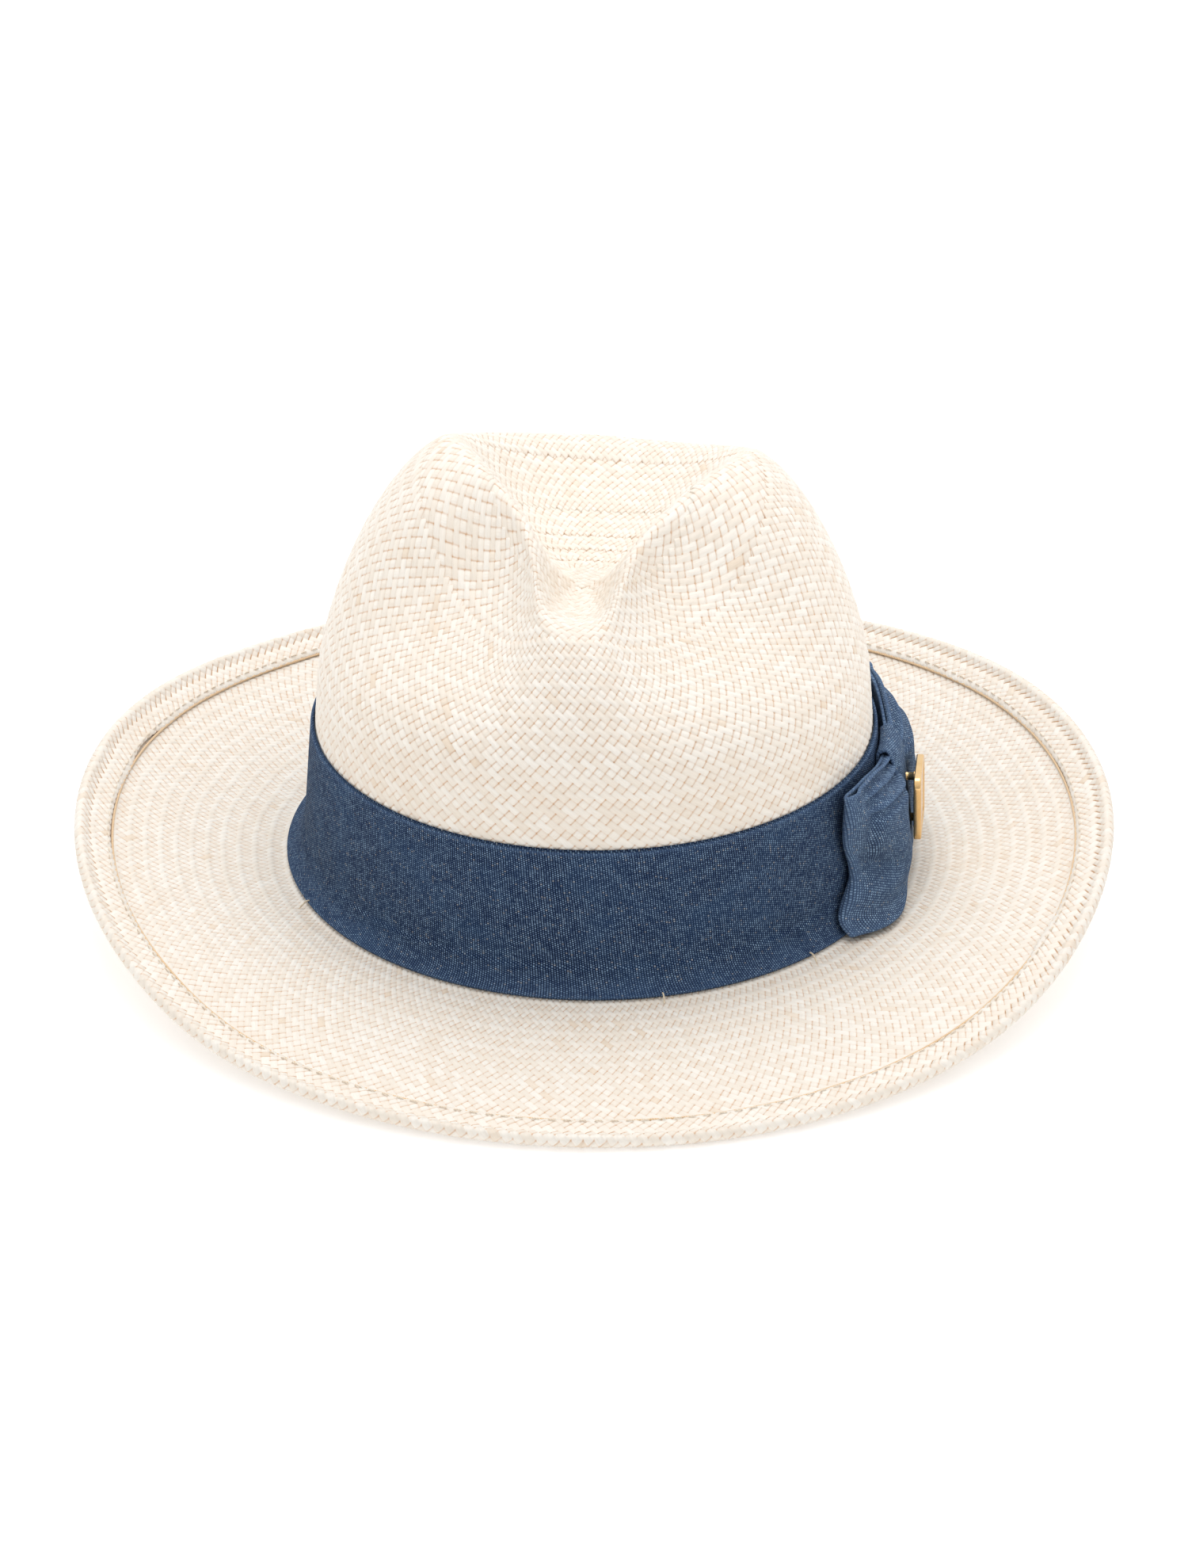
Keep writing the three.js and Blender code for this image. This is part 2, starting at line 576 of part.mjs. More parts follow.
// s runs from 0 at the knot to 1 at the tip
function innerLayerOut(s, z, tipOut) {
  const knotOut = 2.1 + 0.3 * Math.max(0, 10 - z);
  const out = knotOut + (tipOut - knotOut) * smooth(0.25, 1, s);
  return Math.max(out, flareBelow(z) + INNER_CLEAR);
}
function outerLayerOut(s, z, v, tipOut) {
  const low = 1 - smooth(0, 16, z);
  const high = smooth(26, 42, z);
  const belly = Math.sin(Math.PI * clamp((s - UNDER_WRAP) / (1 - UNDER_WRAP), 0, 1)) ** 0.8;
  const bulge = belly * (4.4 + 2.6 * low - 2.2 * high);
  // shallow pleats beside the wrap, in the upper part only
  const pleatFade = smooth(UNDER_WRAP, 0.3, s) * (1 - smooth(0.35, 0.8, s)) * smooth(0.45, 0.8, v);
  const pleat = 0.55 * Math.cos(v * Math.PI * 7) * pleatFade;
  const base = OUTER_KNOT_OUT + (tipOut - OUTER_KNOT_OUT) * smooth(0.35, 1, s);
  const least = smooth(UNDER_WRAP, 0.32, s) * (flareBelow(z) + OUTER_CLEAR);
  return Math.max(base + bulge + pleat, least);
}
// u along the fabric: inner layer from the knot, fold, outer layer back; v upward
function loopPoint(loop, u, v) {
  const tipZ = loop.bottom + loop.height * v;
  const tipAngle = loop.tipAngle(tipZ);
  const knotAngle = alongBand(KNOT_ANGLE, loop.side * KNOT_END);
  const span = tipAngle - knotAngle;
  const innerTip = Math.max(loop.tipOut(tipZ) - TIP_FOLD_R, 1.0);
  const foldOut = Math.max(innerTip, flareBelow(tipZ) + INNER_CLEAR);

  if (u >= LAYER_END && u < 1 - LAYER_END) {
    const turn = Math.PI * (u - LAYER_END) / (1 - 2 * LAYER_END);
    const angle = alongBand(tipAngle, loop.side * TIP_FOLD_R * Math.sin(turn))
      - span * (1 - LAYER_REACH) * Math.cos(turn) ** 2;
    return offBand(angle, tipZ, foldOut + TIP_FOLD_R * (1 - Math.cos(turn)));
  }
  const isInner = u < LAYER_END;
  const s = (isInner ? u : 1 - u) / LAYER_END;
  const knotZ = KNOT_BOTTOM + KNOT_HEIGHT * v;
  const z = knotZ + (tipZ - knotZ) * smooth(UNDER_WRAP, isInner ? 0.8 : 0.7, s);
  const out = isInner
    ? innerLayerOut(s, z, innerTip)
    : outerLayerOut(s, z, v, foldOut + 2 * TIP_FOLD_R);
  return offBand(knotAngle + span * s * LAYER_REACH, z, out);
}
const bowLoop = (loop) => sheet(
  Array.from({ length: LOOP_STEPS + 1 }, (_, i) => (
    Array.from({ length: LOOP_CROSS_STEPS + 1 }, (__, j) => (
      loopPoint(loop, i / LOOP_STEPS, j / LOOP_CROSS_STEPS))))),
  BOW_T);

// ---- bow wrap: a closed loop round the middle of the bow, open at both sides ----
// middle of the fabric: distance out from the hatband, height
const WRAP_PATH = [
  [0.85, 36.6], [0.85, 24], [0.9, 12], [1.2, 8.2], [2.0, 5.2], [3.4, 3.2], [5.6, 2.9],
  [7.4, 3.9], [8.3, 6.4], [8.2, 11], [7.8, 17], [7.5, 23], [7.2, 29], [6.7, 34.6],
  [5.6, 37.9], [3.6, 39.2], [1.8, 38.6],
];
const WRAP_STATIONS = [-1, -0.6, -0.2, 0.2, 0.6, 1]; // shares of the half width

function bowWrap() {
  const count = WRAP_PATH.length;
  const row = (station, shift) => WRAP_PATH.map(([out, z], k) => {
    const [prevOut, prevZ] = WRAP_PATH[(k + count - 1) % count];
    const [nextOut, nextZ] = WRAP_PATH[(k + 1) % count];
    const alongOut = nextOut - prevOut;
    const alongZ = nextZ - prevZ;
    const scale = shift / Math.hypot(alongOut, alongZ);
    const angle = alongBand(KNOT_ANGLE, station * KNOT_HALF);
    return offBand(angle, z + alongOut * scale, out - alongZ * scale);
  });
  return stitch([
    ...WRAP_STATIONS.map((station) => row(station, WRAP_T / 2)),
    ...[...WRAP_STATIONS].reverse().map((station) => row(station, -WRAP_T / 2)),
  ], true);
}

// ---- badge, in its own frame: across (toward the back), up, out -------------------
const bandNormal = outward(KNOT_ANGLE);
const badgeAcross = [-bandNormal[1], bandNormal[0], 0];
const badgeOut = unit([
  bandNormal[0] * cosD(BADGE_TILT),
  bandNormal[1] * cosD(BADGE_TILT),
  sinD(BADGE_TILT) * TILT_RISE,
]);
const badgeUp = unit(cross(badgeOut, badgeAcross));
const badgeCentre = offBand(KNOT_ANGLE, BADGE_Z, BADGE_OUT);
const badgePoint = (across, up, out) => (
  add(add(add(badgeCentre, badgeAcross, across), badgeUp, up), badgeOut, out));

// prism along the badge's outward axis; layers: [inset toward the frame's axis, out]
function prism(outline, layers, centreUp = 0) {
  const rows = layers.map(([inset, out]) => outline.map(([across, up]) => {
    const keep = 1 - inset / Math.hypot(across, up);
    return badgePoint(across * keep, up * keep, out);
  }));
  const [start, end] = [layers[0], layers.at(-1)].map(([, out]) => badgePoint(0, centreUp, out));
  return capped(rows, start, end);
}
const circle = (radius, sides, centreUp) => Array.from({ length: sides }, (_, i) => {
  const turn = 2 * Math.PI * i / sides;
  return [radius * Math.cos(turn), centreUp + radius * Math.sin(turn)];
});
const cylinder = (radius, centreUp, from, to) => (
  prism(circle(radius, POST_SIDES, centreUp), [[0, from], [0, to]], centreUp));

function roundedRectangle(width, height, radius, steps) {
  const corners = [[1, 1, 0], [-1, 1, 90], [-1, -1, 180], [1, -1, 270]];
  return corners.flatMap(([sx, sy, start]) => Array.from({ length: steps + 1 }, (_, i) => {
    const d = start + 90 * i / steps;
    return [
      sx * (width / 2 - radius) + radius * cosD(d),
      sy * (height / 2 - radius) + radius * sinD(d),
    ];
  }));
}
// plate with chamfered edges and a shallow recess in its face
function badgePlate() {
  const face = BADGE_T / 2;
  return prism(roundedRectangle(BADGE_W, BADGE_H, BADGE_R, 5), [
    [0.35, -face], [0, -face + 0.35], [0, face - 0.5], [0.5, face], [1.6, face],
    [1.9, face - 0.35],
  ]);
}
// washerReach: outer face of the washer, out from the hatband
const POSTS = [
  { place: 'upper', up: POST_PITCH / 2, washerReach: POST_REACH },
  { place: 'lower', up: -POST_PITCH / 2, washerReach: 6.6 },
];
const POST_END = POST_REACH - BADGE_OUT;
const badgePost = ({ up }) => cylinder(POST_R, up, POST_END, -BADGE_T / 2 - POST_BACK);
const postHole = ({ up }) => cylinder(POST_R + GAP, up, POST_END - HOLE_OVERRUN, HOLE_OUTER);

// washer round a post, against the inside of the wrap
function washer({ up, washerReach }) {
  const outer = washerReach - BADGE_OUT;
  const inner = outer - WASHER_T;
  const bore = POST_R + WASHER_GAP;
  const section = [[bore, inner], [WASHER_R, inner], [WASHER_R, outer], [bore, outer]];
  return stitch(section.map(([radius, out]) => (
    circle(radius, WASHER_SIDES, up).map(([a, b]) => badgePoint(a, b, out)))), true);
}

// ---- tack stitches that hold the hatband's lower edge to the brim ---------------
function tack(angle) {
  const normal = outward(angle);
  const side = cross(UP, normal);
  const brim = brimAt(angle);
  const offset = BAND_OUTER + TACK_GAP;
  const path = [
    offBreak(angle, 48, offset),
    offBreak(angle, 62, offset),
    offBreak(angle, 76, offset + 0.1),
    add(add(offBreak(angle, 76, offset), normal, 0.75), UP, -0.35),
    add(brim.at(TACK_FOOT / brim.length), UP, 0.5),
  ];
  const last = path.length - 1;
  const rows = path.map((point, i) => {
    const along = unit(sub(path[Math.min(last, i + 1)], path[Math.max(0, i - 1)]));
    return roundSection(point, side, unit(cross(along, side)), TACK_R, 6);
  });
  return capped(rows, path[0], path[last]);
}

// ---- assembly -------------------------------------------------------------------
function buildHat() {
  const root = new THREE.Group();
  root.name = 'straw_fedora';
  const place = (name, solid, finish) => root.add(meshOf(name, solid, finish));

  place('straw_body', strawBody(), FINISH.straw);
  place('brim_wire', brimWire(), FINISH.wire);
  place('hem_thread', hemThread(), FINISH.thread);
  place('hatband', hatband(), FINISH.denim);
  place('sweatband', sweatband(), FINISH.leather);
  place('sweatband_reed', sweatReed(), FINISH.reed);
  place('sweatband_thread', sweatThread(), FINISH.thread);
  LOOPS.forEach((loop) => place(loop.name, bowLoop(loop), FINISH.denim));
  place('badge_plate', badgePlate(), FINISH.plate);

  let wrap = toManifold(bowWrap());
  for (const post of POSTS) {
    wrap = wrap.subtract(toManifold(postHole(post)));
    place(`badge_post_${post.place}`, badgePost(post), FINISH.post);
    place(`badge_washer_${post.place}`, washer(post), FINISH.washer);
  }
  place('bow_wrap', fromManifold(wrap), FINISH.denim);
  TACK_ANGLES.forEach((angle, k) => place(`band_tack_${k + 1}`, tack(angle), FINISH.tack));

  root.position.set(...ORIGIN_SHIFT);
  return root;
}

export default buildHat();
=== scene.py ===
# A woven straw hat with a denim hatband, a denim bow on one side and a gold badge on its knot.
# The brim lies level in X and Y and the crown rises along +Z. The front faces -Y and +X is the
# wearer's left, where the bow sits. Angles run in degrees from the front (0) by way of +X (90).
import bpy
import math
import numpy as np
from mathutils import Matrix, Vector


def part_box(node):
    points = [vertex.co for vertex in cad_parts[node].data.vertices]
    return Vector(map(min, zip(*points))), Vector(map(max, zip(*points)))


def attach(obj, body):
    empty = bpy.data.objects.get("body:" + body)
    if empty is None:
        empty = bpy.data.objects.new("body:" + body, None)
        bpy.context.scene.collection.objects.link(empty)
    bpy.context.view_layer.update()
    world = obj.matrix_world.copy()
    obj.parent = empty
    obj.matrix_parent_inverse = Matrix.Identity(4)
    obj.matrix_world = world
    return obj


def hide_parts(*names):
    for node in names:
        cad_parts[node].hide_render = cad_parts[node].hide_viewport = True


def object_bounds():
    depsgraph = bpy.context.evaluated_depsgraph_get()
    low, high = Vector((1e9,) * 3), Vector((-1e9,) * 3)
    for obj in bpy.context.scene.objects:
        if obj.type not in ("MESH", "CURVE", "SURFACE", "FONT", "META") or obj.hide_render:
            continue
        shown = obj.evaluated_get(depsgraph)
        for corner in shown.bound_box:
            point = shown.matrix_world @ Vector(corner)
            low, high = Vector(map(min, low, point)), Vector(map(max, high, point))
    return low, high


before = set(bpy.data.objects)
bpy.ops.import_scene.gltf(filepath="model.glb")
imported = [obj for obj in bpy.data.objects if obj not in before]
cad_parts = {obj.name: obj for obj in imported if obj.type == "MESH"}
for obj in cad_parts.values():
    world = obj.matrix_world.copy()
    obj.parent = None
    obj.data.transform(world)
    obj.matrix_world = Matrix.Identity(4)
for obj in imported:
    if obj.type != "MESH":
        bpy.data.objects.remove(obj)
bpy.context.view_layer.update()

# ---- dimensions (mm) ------------------------------------------------------------
# Shapes are laid out in millimetres from the centre of the head opening, level with the
# brim break, and moved by SHIFT into the model's frame when a mesh is made.
_low, _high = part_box("straw_body")
SHIFT = np.array([0.0, (_low.y + _high.y) * 500 + 1.09, _low.z * 1000 + 10.75])

# half sizes across (X) and front to back (Y), and the share lost per mm of height
CROWN_A, CROWN_B, TAPER_A, TAPER_B = 84.5, 99.5, 0.0009, 0.0010
WALL_TOP = 56.0
BREAK_R = 8.0                    # rounding from wall to brim
STRAW_T = 1.3
BRIM_A, BRIM_FRONT, BRIM_BACK = 152.5, 170.0, 168.0
HEM_W, FOLD_R = 12.2, 0.75
CREST_R = 4.5                    # rounding of the crown's ridge
CENTRE = np.array([-2.5, -10.0, 88.0])   # middle of the dented crown top

GAP = 0.3                        # between straw and the bands on it
BAND_TOP, BAND_T = 41.0, 1.0
BAND_OUT = GAP + BAND_T          # the hatband's face, out from the wall
BAND_BREAK_R = BREAK_R - BAND_OUT
BAND_TURN = 76                   # degrees the hatband turns over the break
TACK_ANGLES = [12, 42, 145, 195, 245, 295]

SWEAT_T, SWEAT_TOP, SWEAT_FOOT = 1.0, 37.6, 2.2
SWEAT_OUTER = -STRAW_T - GAP     # its two faces, out from the wall
SWEAT_INNER = SWEAT_OUTER - SWEAT_T

KNOT_ANGLE, KNOT_HALF = 82.5, 9.5
MM_PER_DEGREE = 1.735            # round the wall, near the bow
BADGE_W, BADGE_H, BADGE_T, BADGE_R = 22.0, 19.5, 2.2, 3.0
BADGE_Z, BADGE_OUT, BADGE_TILT = 21.0, 11.2, 4.7    # place, and lean in degrees
POST_R, POST_PITCH = 1.2, 13.0

# crest of the crown. angle: x, y, z
RIDGE = {
    0: [-4, -63.5, 94], 6: [1, -61, 94.6], 12: [4, -57, 96], 20: [6.5, -50, 99],
    30: [9, -41.5, 102.5], 45: [12.5, -30, 106], 60: [18, -17.5, 109], 75: [25, -4, 111.5],
    90: [34, 10, 113.8], 105: [41.5, 24, 113.5], 120: [44, 38, 110.5], 135: [40, 51, 106.5],
    150: [30, 60, 103], 165: [16, 65.5, 101.5], 180: [0, 67.5, 102], 195: [-15, 66, 103.5],
    210: [-28, 60.5, 106.5], 225: [-36.5, 51, 110.5], 240: [-40, 38, 115],
    255: [-38, 24, 118], 270: [-33, 10, 118], 285: [-26.5, -4, 115.5],
    300: [-21, -17.5, 111.5], 315: [-18.2, -30, 107.5], 328: [-17.2, -40, 103.5],
    338: [-16.2, -48.5, 100], 346: [-14.2, -56, 97], 353: [-9.6, -61.5, 94.8]}
# handles of the curve from wall to ridge.
# angle: height of the lower one, share of the way out of the upper one, its drop below the ridge
WALL = {
    0: [72, .34, 2.5], 6: [72, .32, 4], 12: [75, .24, 10], 20: [79, .15, 18],
    30: [82, .09, 25], 42: [83, .06, 28], 54: [82, .08, 27], 66: [79, .20, 19],
    78: [77, .44, 8], 90: [76, .58, 4], 120: [76, .58, 4], 135: [76, .58, 4],
    150: [76, .59, 2], 165: [76, .59, 0], 180: [76, .59, -1], 195: [76, .59, 0],
    210: [76, .59, 2], 225: [76, .58, 4], 240: [76, .58, 4], 268: [76, .58, 4],
    280: [77, .44, 8], 292: [79, .20, 19], 305: [82, .08, 27], 318: [83, .06, 28],
    328: [82, .09, 26], 336: [79, .15, 19], 343: [75, .24, 11], 350: [72, .33, 4]}
# handles of the curve from ridge to centre. angle: length at the ridge, length at the centre
INNER = {
    0: [5, 32], 30: [4, 14], 60: [4, 14], 90: [6, 22], 120: [7, 32], 150: [7, 46],
    180: [7, 56], 210: [7, 46], 240: [7, 32], 270: [6, 22], 300: [4, 14], 330: [4, 14]}
# brim edge. angle: z
EDGE = {
    0: [-9.8], 15: [-9.8], 30: [-8.2], 45: [-5], 60: [1.5], 75: [9.5], 90: [14.5],
    105: [17], 120: [17.2], 135: [14.8], 150: [12], 165: [10.2], 180: [9.5], 195: [10],
    210: [11], 225: [12.5], 240: [15.3], 255: [16.3], 270: [14], 285: [9], 300: [2.5],
    315: [-4.6], 330: [-7.6], 345: [-9.2]}


# ---- small maths ----------------------------------------------------------------
def periodic(table):
    """Smooth closed curve (periodic cubic spline) through {angle: values}."""
    keys = sorted(table)
    knots = np.array(keys, float)
    values = np.array([table[key] for key in keys], float)
    count = len(knots)
    step = np.append(np.diff(knots), knots[0] + 360 - knots[-1])
    matrix = np.zeros((count, count))
    right = np.zeros_like(values)
    for i in range(count):
        before = (i - 1) % count
        after = (i + 1) % count
        matrix[i, before] += step[before]
        matrix[i, i] += 2 * (step[before] + step[i])
        matrix[i, after] += step[i]
        right[i] = 6 * ((values[after] - values[i]) / step[i]
                        - (values[i] - values[before]) / step[before])
    bend = np.linalg.solve(matrix, right)

    def at(angle):
        angle = np.mod(np.asarray(angle, float) - knots[0], 360) + knots[0]
        i = np.clip(np.searchsorted(knots, angle, side="right") - 1, 0, count - 1)
        after = (i + 1) % count
        here = ((knots[i] + step[i] - angle) / step[i])[..., None]
        there = 1 - here
        return (here * values[i] + there * values[after]
                + ((here**3 - here) * bend[i] + (there**3 - there) * bend[after])
                * (step[i] ** 2)[..., None] / 6)
    return at


def curve(pairs):
    """Smooth open curve through (x, y) pairs, flat at both ends."""
    xs, ys = np.array(pairs, float).T
    slope = np.zeros(len(xs))
    slope[1:-1] = (ys[2:] - ys[:-2]) / (xs[2:] - xs[:-2])

    def at(x):
        x = np.clip(np.asarray(x, float), xs[0], xs[-1])
        i = np.clip(np.searchsorted(xs, x, side="right") - 1, 0, len(xs) - 2)
        width = xs[i + 1] - xs[i]
        t = (x - xs[i]) / width
        return (ys[i] * (1 + 2 * t) * (1 - t) ** 2 + slope[i] * width * t * (1 - t) ** 2
                + ys[i + 1] * t * t * (3 - 2 * t) + slope[i + 1] * width * t * t * (t - 1))
    return at


def unit(v):
    return v / np.maximum(np.linalg.norm(v, axis=-1, keepdims=True), 1e-12)


def smooth(start, end, value):
    """Eased step from 0 at start to 1 at end."""
    t = np.clip((value - start) / (end - start), 0, 1)
    return t * t * (3 - 2 * t)


def hump(value, centre, width):
    """Bell of height 1."""
    return np.exp(-((value - centre) / width) ** 2)


def bezier(a, b, c, d, t):
    t = np.asarray(t, float)[..., None]
    s = 1 - t
    return a * s**3 + 3 * b * t * s * s + 3 * c * t * t * s + d * t**3


def relax(points, times):
    """Evens out points along the first axis, ends held."""
    for _ in range(times):
        points[1:-1] = points[1:-1] * 0.5 + (points[:-2] + points[2:]) * 0.25


def arc_lengths(loop):
    return np.append(0, np.cumsum(np.linalg.norm(np.roll(loop, -1, 0) - loop, axis=1)))


def loop_noise(count, spacing, seed):
    """A smooth random loop of count values, with about count / spacing bumps."""
    knots = max(3, int(count / spacing))
    values = np.random.default_rng(seed).normal(size=knots)
    x = np.arange(count) / count * knots
    i = np.floor(x).astype(int)
    t = x - i
    t = t * t * (3 - 2 * t)
    return values[i % knots] * (1 - t) + values[(i + 1) % knots] * t


def ring(angle, a, b, z):
    rad = np.radians(angle)
    return np.stack(np.broadcast_arrays(a * np.sin(rad), -b * np.cos(rad), z), -1)


def wall_ring(angle, z, out=0.0):
    return ring(angle, CROWN_A * (1 - TAPER_A * z) + out, CROWN_B * (1 - TAPER_B * z) + out, z)


def outward(angle):
    rad = np.radians(np.asarray(angle, float))
    return unit(np.stack([np.sin(rad) / CROWN_A, -np.cos(rad) / CROWN_B, np.zeros_like(rad)], -1))


def off_band(angle, z, height):
    """A point that height out from the hatband's face."""
    return (wall_ring(angle, z)
            + outward(angle) * np.asarray(BAND_OUT + height, float)[..., None])


def over_break(angle, turn, out):
    """A point out from the straw on the rounded break; turn (radians) is 0 where the wall ends."""
    radius = BREAK_R - out
    point = (ring(angle, CROWN_A, CROWN_B, 0.0)
             + outward(angle) * np.asarray(BREAK_R - radius * math.cos(turn))[..., None])
    point[..., 2] = BREAK_R - radius * math.sin(turn)
    return point


# ---- base surfaces: columns by angle, rows by arc length --------------------------
COLUMNS = 720
ANGLES = np.arange(COLUMNS) * 360.0 / COLUMNS
OUT, UP = outward(ANGLES), np.tile([0, 0, 1.0], (COLUMNS, 1))


class Surface:
    def __init__(self, rows, row_count, probe, axis):
        """Respaces the rows evenly. The normal at probe (column, row) is made to face axis."""
        lines = np.stack(rows, 1)
        seg = np.linalg.norm(np.diff(lines, axis=1), axis=2)
        run = np.concatenate([np.zeros((len(lines), 1)), np.cumsum(seg, 1)], 1)
        self.length = run[:, -1]
        points = np.empty((len(lines), row_count, 3))
        for i in range(len(lines)):
            even = np.linspace(0, run[i, -1], row_count)
            for axis_no in range(3):
                points[i, :, axis_no] = np.interp(even, run[i], lines[i, :, axis_no])
        self.points, self.row_count = points, row_count
        around = np.roll(points, -1, 0) - np.roll(points, 1, 0)
        along = np.empty_like(points)
        along[:, 1:-1] = points[:, 2:] - points[:, :-2]
        along[:, 0] = points[:, 1] - points[:, 0]
        along[:, -1] = points[:, -1] - points[:, -2]
        self.normals = unit(np.cross(along, around))
        if (self.normals[probe] * axis).sum() < 0:
            self.normals = -self.normals

    def perimeter(self, v):
        loop = self.points[:, int(round(v * (self.row_count - 1)))]
        return np.linalg.norm(loop - np.roll(loop, 1, 0), axis=1).sum()

    def at(self, angle, v):
        """Point and normal at an angle and a share v of the way along the rows."""
        x = np.mod(np.asarray(angle, float), 360) / 360 * COLUMNS
        i = np.floor(x).astype(int)
        fx = (x - i)[..., None]
        i0, i1 = i % COLUMNS, (i + 1) % COLUMNS
        y = np.clip(np.asarray(v, float), 0, 1) * (self.row_count - 1)
        j = np.clip(np.floor(y).astype(int), 0, self.row_count - 2)
        fy = (y - j)[..., None]

        def blend(grid):
            return ((grid[i0, j] * (1 - fx) + grid[i1, j] * fx) * (1 - fy)
                    + (grid[i0, j + 1] * (1 - fx) + grid[i1, j + 1] * fx) * fy)
        return blend(self.points), unit(blend(self.normals))


def crown_surface():
    """Outer face of the crown, from its centre over the ridge and down the wall."""
    ridge, wall, inner = (periodic(table)(ANGLES) for table in (RIDGE, WALL, INNER))
    foot = wall_ring(ANGLES, WALL_TOP)
    rise = (foot - wall_ring(ANGLES, WALL_TOP - 10)) / 10
    wall_low = foot + rise * (wall[:, :1] - WALL_TOP)
    wall_high = np.concatenate([ridge[:, :2] - (ridge[:, :2] - foot[:, :2]) * wall[:, 1:2],
                                ridge[:, 2:] - wall[:, 2:3]], 1)
    to_centre = CENTRE - ridge
    to_centre[:, 2] = 0
    reach = np.linalg.norm(to_centre, axis=1)
    inward = unit(to_centre)
    top_near = ridge + inward * inner[:, :1]
    top_far = CENTRE - inward * np.minimum(inner[:, 1], 0.75 * reach)[:, None]
    # both curves stop short of the ridge to leave room for its rounding
    wall_end = np.clip(1 - CREST_R / (3 * np.linalg.norm(ridge - wall_high, axis=1)), 0.5, 0.97)
    top_start = np.minimum(0.3, CREST_R / (3 * np.linalg.norm(top_near - ridge, axis=1)))

    def top(t):
        return bezier(ridge, top_near, top_far, np.broadcast_to(CENTRE, ridge.shape),
                      top_start + (1 - top_start) * t)

    def side(t):
        return bezier(foot, wall_low, wall_high, ridge, t * wall_end)
    rows = [top(t) for t in np.linspace(1, 0, 90)]
    crest_out, crest_in = side(1.0), top(0.0)
    for t in np.linspace(1, 0, 14)[1:-1]:
        s = 1 - t
        rows.append(crest_out * s * s + 2 * ridge * s * t + crest_in * t * t)
    rows += [side(t) for t in np.linspace(1, 0, 90)]
    rows += [wall_ring(ANGLES, z) for z in np.linspace(WALL_TOP, 9, 40)[1:]]
    surface = Surface(rows, 560, (180, 500), np.array([1.0, 0, 0]))
    # one shared normal at the centre, where all columns meet
    shared = unit(surface.normals[:, 4:9].mean((0, 1)))
    for j in range(5):
        weight = j / 5
        surface.normals[:, j] = unit(surface.normals[:, 5] * weight + shared * (1 - weight))
    return surface


# hem, folded onto the brim's upper face. mm in from the edge, height of its middle surface
HEM_HEIGHT = [(1.5, 2.2), (2.05, 2.15), (2.9, 1.84), (4.0, 1.34), (5.2, 1.09), (8.5, 1.05),
              (10.4, 1.02), (12.0, 0.66), (13, 0.6)]


def brim_surface():
    """Middle surface of the straw: from behind the hatband over the brim, round the fold, back
    along the hem. Also gives the brim's upper face: its points and normals at a share t of the
    way to the edge, and the level distance to the edge, for every column."""
    half_t = STRAW_T / 2
    rows = [wall_ring(ANGLES, z) - OUT * half_t for z in np.linspace(15, BREAK_R, 8)]
    for turn in np.radians(np.linspace(0, 90, 24)[1:]):
        c, s = math.cos(turn), math.sin(turn)
        out = BREAK_R * (1 - c)
        rows.append(ring(ANGLES, CROWN_A + out, CROWN_B + out, BREAK_R * (1 - s))
                    - (OUT * c + UP * s) * half_t)
    z = periodic(EDGE)(ANGLES)[:, 0]
    depth = np.where(np.cos(np.radians(ANGLES)) > 0, BRIM_FRONT, BRIM_BACK)
    edge = ring(ANGLES, BRIM_A, depth, z)
    start = ring(ANGLES, CROWN_A + BREAK_R, CROWN_B + BREAK_R, 0.0)
    across = edge - start
    across[:, 2] = 0
    run = np.linalg.norm(across, axis=1)
    across = unit(across)
    near, far = start + across * (run * 0.4)[:, None], edge - across * (run * 0.3)[:, None]
    near[:, 2] = np.where(z < 0, z * 0.25, z * 0.10 - 0.5)
    far[:, 2] = np.where(z < 0, z * 0.8, z * 0.45)

    def at(t):
        return bezier(start, near, far, edge, t)

    def normal(t):
        p = at(t)
        around = np.roll(p, -1, 0) - np.roll(p, 1, 0)
        along = at(np.minimum(t + .01, 1)) - at(np.minimum(t + .01, 1) - .02)
        n = unit(np.cross(around, along))
        return np.where(n[:, 2:] < 0, -n, n)
    fold_in = STRAW_T + FOLD_R
    fold_t = 1 - fold_in / run
    for share in np.linspace(0, 1, 70)[1:]:
        t = share * fold_t
        rows.append(at(t) - normal(t) * half_t)
    tip = at(np.ones(COLUMNS))
    fold_out, fold_up = unit(tip - at(fold_t)), normal(fold_t)
    radius = FOLD_R + half_t
    for turn in np.radians(np.linspace(-90, 90, 25)[1:]):
        rows.append(tip - fold_out * (fold_in - radius * math.cos(turn))
                    + fold_up * (FOLD_R + radius * math.sin(turn)))
    hem_height = curve(HEM_HEIGHT)
    raw_edge = HEM_W + 0.35 * loop_noise(COLUMNS, 14, 3)
    for share in np.linspace(0, 1, 40)[1:]:
        inset = fold_in + (raw_edge - fold_in) * share
        t = 1 - inset / run
        rows.append(at(t) + normal(t) * hem_height(inset)[:, None])
    return Surface(rows, 640, (180, 250), UP[0]), at, normal, run


crown = crown_surface()
brim, brim_at, brim_normal, brim_run = brim_surface()


